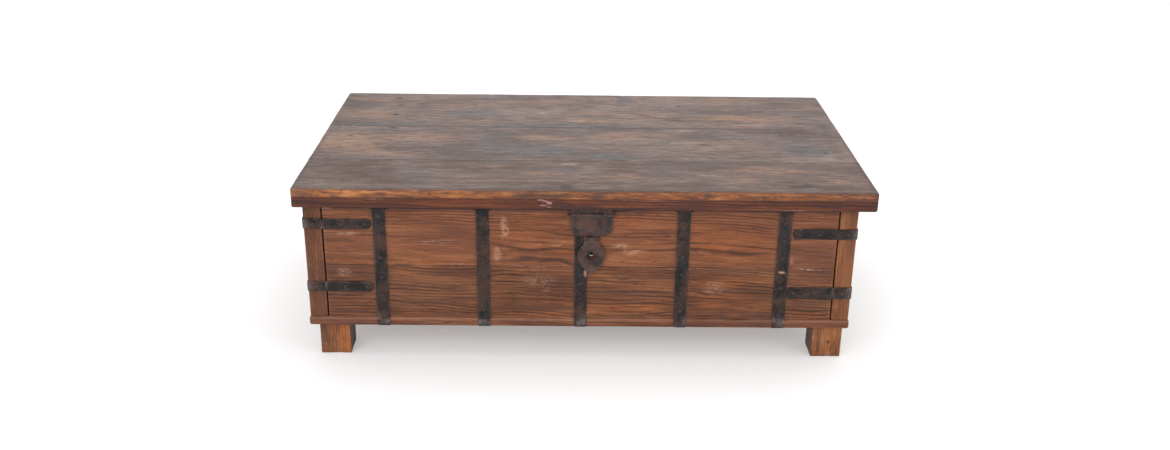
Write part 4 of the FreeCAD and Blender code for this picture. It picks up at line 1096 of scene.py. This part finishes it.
def dome_nail(centre, out, run, seed):
    """A hand-made domed nail head, a little uneven and set a little askew."""
    generator = np.random.default_rng(seed)
    up = np.cross(out, run)
    radius = generator.uniform(4.6, 5.9) * MM
    height = generator.uniform(1.5, 2.7) * MM
    lean = generator.uniform(-0.08, 0.08, 2)
    around = 14
    rings = 5
    verts = []
    marks = []
    for ring in range(rings + 1):
        angle = ring / rings * math.pi / 2
        for k in range(1 if ring == rings else around):
            turn = 2 * math.pi * k / around
            wobble = 1 + 0.06 * math.sin(2 * turn + seed) + generator.uniform(-0.03, 0.03)
            reach = radius * math.cos(angle) * wobble
            a = reach * math.cos(turn)
            b = reach * math.sin(turn)
            lift = height * math.sin(angle) ** 0.85 + a * lean[0] + b * lean[1]
            verts.append(centre + run * a + up * b + out * lift)
            marks.append((smooth(ring / rings, 0.4, 1.0) * 0.22, 0.35, 0, 0))
    tip = rings * around
    skirt = len(verts)
    verts += [vert - out * 1.2 * MM for vert in verts[:around]]
    marks += [(0, 0.6, 0, 0)] * around
    faces = [tuple(range(skirt + around - 1, skirt - 1, -1))]
    for k in range(around):
        m = (k + 1) % around
        for ring in range(rings - 1):
            low = ring * around
            faces.append((low + k, low + m, low + around + m, low + around + k))
        faces.append((tip - around + k, tip - around + m, tip))
        faces.append((skirt + k, skirt + m, m, k))
    if np.dot(np.cross(run, up), out) < 0:
        faces = [face[::-1] for face in faces]
    return verts, faces, marks


def wall_nail(side, x, height, seed):
    """A nail on the front or back wall's straps; x and height are in mm."""
    origin, out = WALLS[side]
    centre = origin + RUN * x * MM + out * NAIL_REST + UP * height * MM
    return dome_nail(centre, out, RUN, seed % 9973)


def make_straps():
    """The upright straps, with their nails and the hinges' nails."""
    nails = []
    back_straps = []
    for number, (x, heights) in enumerate(FRONT_STRAPS, start=1):
        strap = upright_strap("front", x, 200 + number, BARE_SPOTS.get(number))
        iron_piece("front_strap_" + str(number), [strap], STRAP_IRON)
        nails += [wall_nail("front", x, height, x + height * 3 + 1) for height in heights]
    for number, (x, _) in enumerate(FRONT_STRAPS, start=1):
        back_straps.append(upright_strap("back", x, 300 + number))
        nails += [wall_nail("back", x, height, x + height * 5 + 2) for height in BACK_NAIL_HEIGHTS]
    iron_piece("back_straps", back_straps, STRAP_IRON)
    for place in HINGE_PLACES:
        for offset in (-24, 0, 24):
            height = HINGE_NAIL_LOW + abs(offset)
            nails.append(wall_nail("back", -(place + offset), height, int(place + offset * 7) + 3))
    iron_piece("strap_and_hinge_nails", nails, NAIL_IRON)


def post_gap_sink(s):
    """How far a corner strap sinks into the dark gap beside a post, at a place along it."""
    return 0.9 * MM * math.exp(-((s - POST_GAP) / (6 * MM)) ** 2)


def corner_strap(corner, level, nails):
    """A strap round a corner: along the long wall, round the post's arris and along the end."""
    node = "corner_strap_" + corner + "_" + level
    low, high = node_box(node)
    x0, y0, sx, sy = CORNER_SIDES[corner]
    reach_x, reach_y = (high - low)[:2] - STRAP_THICK
    middle = (low[2] + high[2]) / 2
    bend = 2.5 * MM
    path = [(x0 + sx * s, y0 + sy * post_gap_sink(s), middle) for s in np.arange(reach_x, 6 * MM, -3.5 * MM)]
    outward = [(0, -sy, 0)] * len(path)
    for along, out in arc(0.0, 0.0, 1.0, 1.0, 0, 90, 7):
        path.append((x0 + sx * bend * (1 - out), y0 + sy * bend * (1 - along), middle))
        outward.append((-sx * out, -sy * along, 0))
    end = [(x0 + sx * post_gap_sink(s), y0 + sy * s, middle) for s in np.arange(6 * MM, reach_y, 3.5 * MM)]
    seed = name_seed(node)
    verts, faces, _, sides, outs = swept_bar(path + end, outward + [(-sx, 0, 0)] * len(end), UP,
                                             high[2] - low[2], seed, tip=9 * MM)
    if sx * sy > 0:
        faces = [face[::-1] for face in faces]
    patchy = smooth(noise3(verts, 0.012, seed + 6), -0.5, 0.6)
    near_bend = bell(np.hypot(verts[:, 0] - x0, verts[:, 1] - y0), 10 * MM)
    rubbed = 0.5 * smooth(np.abs(sides), 0.8, 1.0) * (outs > 0.3) * patchy + 0.6 * near_bend
    if corner.startswith("front"):
        gap = np.abs(np.abs(verts[:, 0] - x0) - POST_GAP)
        rubbed = np.maximum(rubbed, 0.7 * patchy * (outs > 0.3) * smooth(gap, 4 * MM, 1 * MM))
    marks = np.zeros((len(verts), 4))
    marks[:, 0] = np.clip(rubbed, 0, 1)
    marks[:, 1] = smooth(noise3(verts, (0.05, 0.05, 0.03), seed + 7), 0.0, 0.8)
    iron_piece(node, [(verts, faces, marks)], STRAP_IRON)
    for leg, reach, leg_seed in ((0, reach_x, seed), (1, reach_y, seed + 50)):
        run = np.eye(3)[leg]
        out = np.eye(3)[1 - leg] * -(sx, sy)[1 - leg]
        for s in (*CORNER_NAILS, reach / MM - CORNER_TIP_NAIL):
            centre = np.array([x0, y0, middle]) + run * (sx, sy)[leg] * s * MM + out * NAIL_REST
            nails.append(dome_nail(centre, out, run, leg_seed + int(s)))


def make_corner_straps():
    """Eight straps round the corners, and their nails."""
    nails = []
    for corner in CORNER_SIDES:
        for level in ("lower", "upper"):
            corner_strap(corner, level, nails)
    iron_piece("corner_strap_nails", nails, NAIL_IRON)


def make_lid_nails():
    """Flush nail heads in the lid's top, dark and a little sunk."""
    groups = []
    for x in (-519, 521):
        for y in (-380, -300, -215, -150, -20, 60, 118, 188, 273, 343, 383):
            centre = np.array([x * MM, y * MM, LID_TOP - 1.3 * MM])
            verts, faces, marks = dome_nail(centre, UP, RUN, (x + y) % 997 + 5)
            flush = centre + (np.array(verts) - centre) * (0.62, 0.62, 0.3)
            groups.append((flush, faces, [(0.1, 0.3, 0, 0)] * len(marks)))
    iron_piece("lid_nails", groups, NAIL_IRON)


# ---------------------------------------------------------------- hasp

HASP_LEAF_LOW, HASP_LEAF_HIGH = node_box("hasp_lid_leaf")
HASP_LOW, HASP_HIGH = node_box("hasp_plate")
HASP_X = (HASP_LOW[0] + HASP_HIGH[0]) / 2
HASP_HALF = (HASP_HIGH[0] - HASP_LOW[0]) / 2
HASP_KNUCKLE = (HASP_HIGH[1] - HASP_LOW[1]) / 2
HASP_KNUCKLE_HALF = 24.5 * MM
HASP_BACK = HASP_LEAF_HIGH[1]
HASP_SHEET = 2.5 * MM
HASP_PLATE_Y = HASP_BACK - HASP_SHEET / 2
HASP_GAP = 0.7 * MM
TONGUE_LOW, TONGUE_HIGH = node_box("hasp_tongue")
TONGUE_KNUCKLE = 4.2 * MM
TONGUE_KNUCKLE_HALF = 8.5 * MM
TONGUE_PIN_Z = sum(node_box("hasp_tongue_pin"))[2] / 2
PIN_Y, PIN_Z = sum(node_box("hasp_pin"))[1:] / 2
PLATE_BOTTOM = TONGUE_PIN_Z + 4.4 * MM
DISC_Z = 274.5 * MM
HOLE_Z = 272 * MM


def sheet(bm, y, thick, outline, hole=None):
    """Add a flat plate about y, standing in the XZ plane, from closed outlines of (x, z) places."""
    curve = bpy.data.curves.new("plate", "CURVE")
    curve.dimensions = "2D"
    curve.fill_mode = "BOTH"
    curve.extrude = thick / 2 - 0.4 * MM
    curve.bevel_depth = 0.4 * MM
    curve.bevel_resolution = 1
    for places in [outline, hole] if hole else [outline]:
        spline = curve.splines.new("POLY")
        spline.points.add(len(places) - 1)
        for point, (x, z) in zip(spline.points, places):
            point.co = (x, z, 0, 1)
        spline.use_cyclic_u = True
    holder = new_object("plate", curve)
    mesh = evaluated_mesh(holder)
    mesh.transform(Matrix.Translation((0, y, 0)) @ Matrix.Rotation(math.pi / 2, 4, "X"))
    bm.from_mesh(mesh)
    bpy.data.objects.remove(holder)


def evaluated_mesh(piece):
    """A new mesh of an object with its modifiers applied."""
    bpy.context.view_layer.update()
    return bpy.data.meshes.new_from_object(piece.evaluated_get(bpy.context.evaluated_depsgraph_get()))


def add_rod(bm, x0, x1, z, radius):
    """Add a closed round bar along X, about the pins' y."""
    centre = Matrix.Translation(((x0 + x1) / 2, PIN_Y, z)) @ Matrix.Rotation(math.pi / 2, 4, "Y")
    bmesh.ops.create_cone(bm, cap_ends=True, segments=20, radius1=radius, radius2=radius,
                          depth=x1 - x0, matrix=centre)


def add_slab(bm, low, high):
    """Add a closed block between two corners."""
    low = Vector(low)
    high = Vector(high)
    matrix = Matrix.Translation((low + high) / 2) @ Matrix.Diagonal((*(high - low), 1.0))
    bmesh.ops.create_cube(bm, size=1.0, matrix=matrix)


def forged(node, bm, cell, seed, beaten, rubbed_and_lit_of, cuts_of=None):
    """Weld the shapes in bm into one forged surface: remesh, smooth, and beat it a little.
    The rubbed amounts come from a function of p, and hold wear and the knuckles' painted highlight;
    cuts_of(p, normals) gives the depth of chisel cuts."""
    mesh = bpy.data.meshes.new(node + "_aged")
    bm.to_mesh(mesh)
    bm.free()
    piece = new_object(node + "_aged", mesh)
    remesh = piece.modifiers.new("remesh", "REMESH")
    remesh.mode = "VOXEL"
    remesh.voxel_size = cell
    soften = piece.modifiers.new("soften", "SMOOTH")
    soften.factor = 0.5
    soften.iterations = 2
    solid = evaluated_mesh(piece)
    piece.modifiers.clear()
    piece.data = solid
    p, normals = np.empty((2, len(solid.vertices), 3))
    solid.vertices.foreach_get("co", p.ravel())
    solid.vertices.foreach_get("normal", normals.ravel())
    lumps = noise3(p, 0.009, seed) * 0.6 + noise3(p, 0.004, seed + 1) * 0.4
    cuts = cuts_of(p, normals) if cuts_of else np.zeros(len(p))
    q = p + normals * (lumps * beaten - 0.1 * MM - cuts * 0.35 * MM)[:, None]
    solid.vertices.foreach_set("co", q.ravel())
    settle(piece, HASP_IRON, node)
    marks = np.zeros((len(p), 4))
    marks[:, 0] = np.clip(0.15 * smooth(lumps, 0.2, 0.8) + rubbed_and_lit_of(p), 0, 1) * (1 - 0.8 * cuts)
    marks[:, 1] = np.clip(smooth(noise3(p, 0.02, seed + 3), 0.0, 0.7) + cuts, 0, 1)
    set_layer(piece, "marks", marks)


def knuckle_shine(p):
    """A painted highlight on the hasp's upper knuckles, laid in as rubbed grey just below the pin."""
    return 0.30 * bell(p[:, 2] - PIN_Z + 3 * MM, 3.5 * MM)


def chisel_cuts(p, normals):
    """Short chisel strokes round the tongue's disc, in two rings on its front face."""
    across = p[:, 0] - HASP_X
    up = p[:, 2] - DISC_Z
    reach = np.hypot(across, up)
    angle = np.arctan2(up, across)
    total = np.zeros(len(p))
    for inner, outer, strokes in ((13.5 * MM, 20.5 * MM, 22), (22.5 * MM, 29.5 * MM, 30)):
        ring = smooth(reach, inner, inner + 1.5 * MM) * smooth(reach, outer, outer - 1.5 * MM)
        total += ring * smooth(np.cos(angle * strokes), 0.2, 0.9)
    return total * (normals[:, 1] < -0.5)


def hasp_leaf():
    """The leaf fixed under the lid, with its outer knuckles."""
    left = HASP_X - HASP_HALF
    right = HASP_X + HASP_HALF
    top = HASP_LEAF_HIGH[2]
    bm = bmesh.new()
    add_slab(bm, (left, HASP_LEAF_LOW[1], top - 2.2 * MM), (right, HASP_BACK, top))
    lip_y = PIN_Y - HASP_KNUCKLE + 0.4 * MM
    add_slab(bm, (left, lip_y, PIN_Z + HASP_KNUCKLE + HASP_GAP), (right, HASP_BACK, top))
    inner = HASP_KNUCKLE_HALF + HASP_GAP
    for x0, x1 in ((left, HASP_X - inner), (HASP_X + inner, right)):
        add_rod(bm, x0, x1, PIN_Z, HASP_KNUCKLE)
        add_slab(bm, (x0, HASP_BACK - HASP_SHEET, PIN_Z), (x1, HASP_BACK, PIN_Z + HASP_KNUCKLE + 2 * MM))
    forged("hasp_lid_leaf", bm, 0.9 * MM, 401, 0.15 * MM, knuckle_shine)


def hasp_plate():
    """The swinging plate with rounded lower corners, and knuckles above and below."""
    left = HASP_X - HASP_HALF
    right = HASP_X + HASP_HALF
    top = PIN_Z - HASP_KNUCKLE - HASP_GAP
    corner_x = 28 * MM
    corner_z = 17 * MM
    outline = [(left, top)]
    outline += arc(left + corner_x, PLATE_BOTTOM + corner_z, corner_x, corner_z, 180, 270, 10)
    outline += arc(right - corner_x, PLATE_BOTTOM + corner_z, corner_x, corner_z, 270, 360, 10)
    outline.append((right, top))
    bm = bmesh.new()
    sheet(bm, HASP_PLATE_Y, 2.6 * MM, outline)
    x0 = HASP_X - HASP_KNUCKLE_HALF
    x1 = HASP_X + HASP_KNUCKLE_HALF
    add_slab(bm, (x0, HASP_BACK - HASP_SHEET, top - 2 * MM), (x1, HASP_BACK, PIN_Z))
    add_rod(bm, x0, x1, PIN_Z, HASP_KNUCKLE)
    for x0, x1 in ((HASP_X - 18 * MM, HASP_X - 9.2 * MM), (HASP_X + 9.2 * MM, HASP_X + 18 * MM)):
        add_rod(bm, x0, x1, TONGUE_PIN_Z, TONGUE_KNUCKLE)
        add_slab(bm, (x0, HASP_BACK - HASP_SHEET, TONGUE_PIN_Z), (x1, HASP_BACK, PLATE_BOTTOM + 3 * MM))

    def rubbed(p):
        """The knuckles take the painted highlight, and the plate's two upright edges are rubbed."""
        return knuckle_shine(p) + 0.12 * smooth(np.abs(p[:, 0] - HASP_X), 42 * MM, 47 * MM)

    forged("hasp_plate", bm, 0.9 * MM, 411, 0.45 * MM, rubbed)


def hasp_tongue():
    """The round tongue on its neck, with a pear-shaped hole for the staple."""
    x = HASP_X
    disc = (TONGUE_HIGH[0] - TONGUE_LOW[0]) / 2
    tip_z = TONGUE_LOW[2]
    neck = 18 * MM
    neck_top = TONGUE_PIN_Z - 4.9 * MM
    outline = [(x - neck, neck_top), (x - neck, DISC_Z + 29 * MM)]
    outline += arc(x, DISC_Z, disc, disc, 128, 218, 16)
    tip = [(20 * MM, DISC_Z - 29.5 * MM), (14 * MM, DISC_Z - 35 * MM)]
    tip += [(10.5 * MM, tip_z + 1 * MM), (8 * MM, tip_z)]
    outline += [(x - half, z) for half, z in tip] + [(x + half, z) for half, z in tip[::-1]]
    outline += arc(x, DISC_Z, disc, disc, -38, 52, 16)
    outline += [(x + neck, DISC_Z + 29 * MM), (x + neck, neck_top)]
    hole = arc(x, HOLE_Z, 8.8 * MM, 8.4 * MM, -210, 30, 17)
    hole += [(x + 2.2 * MM, HOLE_Z + 13.0 * MM), (x, HOLE_Z + 14.0 * MM), (x - 2.2 * MM, HOLE_Z + 13.0 * MM)]
    bm = bmesh.new()
    sheet(bm, PIN_Y, 3.2 * MM, outline, hole)
    x0 = x - TONGUE_KNUCKLE_HALF
    x1 = x + TONGUE_KNUCKLE_HALF
    add_slab(bm, (x0, PIN_Y - 1.5 * MM, neck_top - 2 * MM), (x1, PIN_Y + 1.5 * MM, TONGUE_PIN_Z))
    add_rod(bm, x0, x1, TONGUE_PIN_Z, TONGUE_KNUCKLE)

    def rubbed(p):
        """The disc's rim is rubbed a little."""
        return 0.12 * smooth(np.hypot(p[:, 0] - x, p[:, 2] - DISC_Z), 30 * MM, 33 * MM)

    forged("hasp_tongue", bm, 0.7 * MM, 421, 0.3 * MM, rubbed, chisel_cuts)


# Nodes whose CAD shape is already right, and their materials.
CAD_SHAPED = {
    "hinge_body_leaves": HINGE_IRON, "hinge_lid_leaves": HINGE_IRON, "hinge_pins": HINGE_IRON,
    "hasp_pin": HASP_IRON, "hasp_tongue_pin": HASP_IRON, "hasp_staple": STAPLE_GLINT_STEEL,
    "floor_battens": BATTEN_WOOD,
}


def paint_cad_nodes():
    """Give the CAD_SHAPED nodes their materials."""
    for node, material in CAD_SHAPED.items():
        for slot in frame["nodes"][node].material_slots:
            slot.material = material


# ---------------------------------------------------------------- camera, lights, floor


def make_camera():
    """The camera stands in front, a little left of the middle, and looks down at the chest."""
    data = bpy.data.cameras.new("camera")
    camera = new_object("camera", data)
    data.sensor_width = 36.0
    data.lens = 37.163
    data.clip_end = 100.0
    pitch = 0.386325
    yaw = 0.012327
    roll = 0.013166
    forward = Vector((math.sin(yaw) * math.cos(pitch), math.cos(yaw) * math.cos(pitch), -math.sin(pitch)))
    level = Vector((math.cos(yaw), -math.sin(yaw), 0))
    up = level.cross(forward)
    right = level * math.cos(roll) + up * math.sin(roll)
    high = up * math.cos(roll) - level * math.sin(roll)
    turn = Matrix((right, high, -forward)).transposed().to_4x4()
    camera.matrix_world = Matrix.Translation((-0.0320, -2.9805, 1.4101)) @ turn
    bpy.context.scene.camera = camera


def soft_light(name, place, target, size, power):
    """A rectangular soft light that faces a target."""
    data = bpy.data.lights.new(name, "AREA")
    data.shape = "RECTANGLE"
    data.size, data.size_y = size
    data.energy = power
    lamp = new_object(name, data)
    lamp.location = place
    lamp.rotation_euler = (Vector(target) - Vector(place)).to_track_quat("-Z", "Y").to_euler()


def make_stage():
    """A pale floor that glows faintly like a light table, a white world and large soft lights."""
    mesh = bpy.data.meshes.new("floor")
    reach = 30.0
    corners = [(-reach, -reach, 0), (reach, -reach, 0), (reach, reach, 0), (-reach, reach, 0)]
    mesh.from_pydata(corners, [], [(0, 1, 2, 3)])
    floor = new_object("floor", mesh)
    n = Nodes("pale floor")
    grey = 0.74
    settings = {"Base Color": (grey, grey, grey, 1), "Roughness": 0.9, "Specular IOR Level": 0.05,
                "Emission Color": (1, 1, 1, 1), "Emission Strength": 0.30}
    for name, value in settings.items():
        n.shader.inputs[name].default_value = value
    mesh.materials.append(n.material)
    world = bpy.data.worlds.new("studio")
    world.use_nodes = True
    background = world.node_tree.nodes["Background"]
    background.inputs["Color"].default_value = (1, 1, 1, 1)
    background.inputs["Strength"].default_value = 0.86
    bpy.context.scene.world = world
    bpy.context.scene.view_settings.view_transform = "Standard"
    soft_light("front light", (-2.2, -4.6, 3.2), (0, -0.2, 0.2), (3.2, 2.0), 70)
    soft_light("top light", (0.4, 0.8, 4.2), (0, 0, 0.3), (4.5, 3.5), 60)
    soft_light("right light", (3.6, -3.0, 2.0), (0.2, -0.2, 0.2), (1.6, 1.6), 22)


make_camera()
make_stage()
make_walls()
make_lid()
make_straps()
make_corner_straps()
make_lid_nails()
hasp_leaf()
hasp_plate()
hasp_tongue()
paint_cad_nodes()
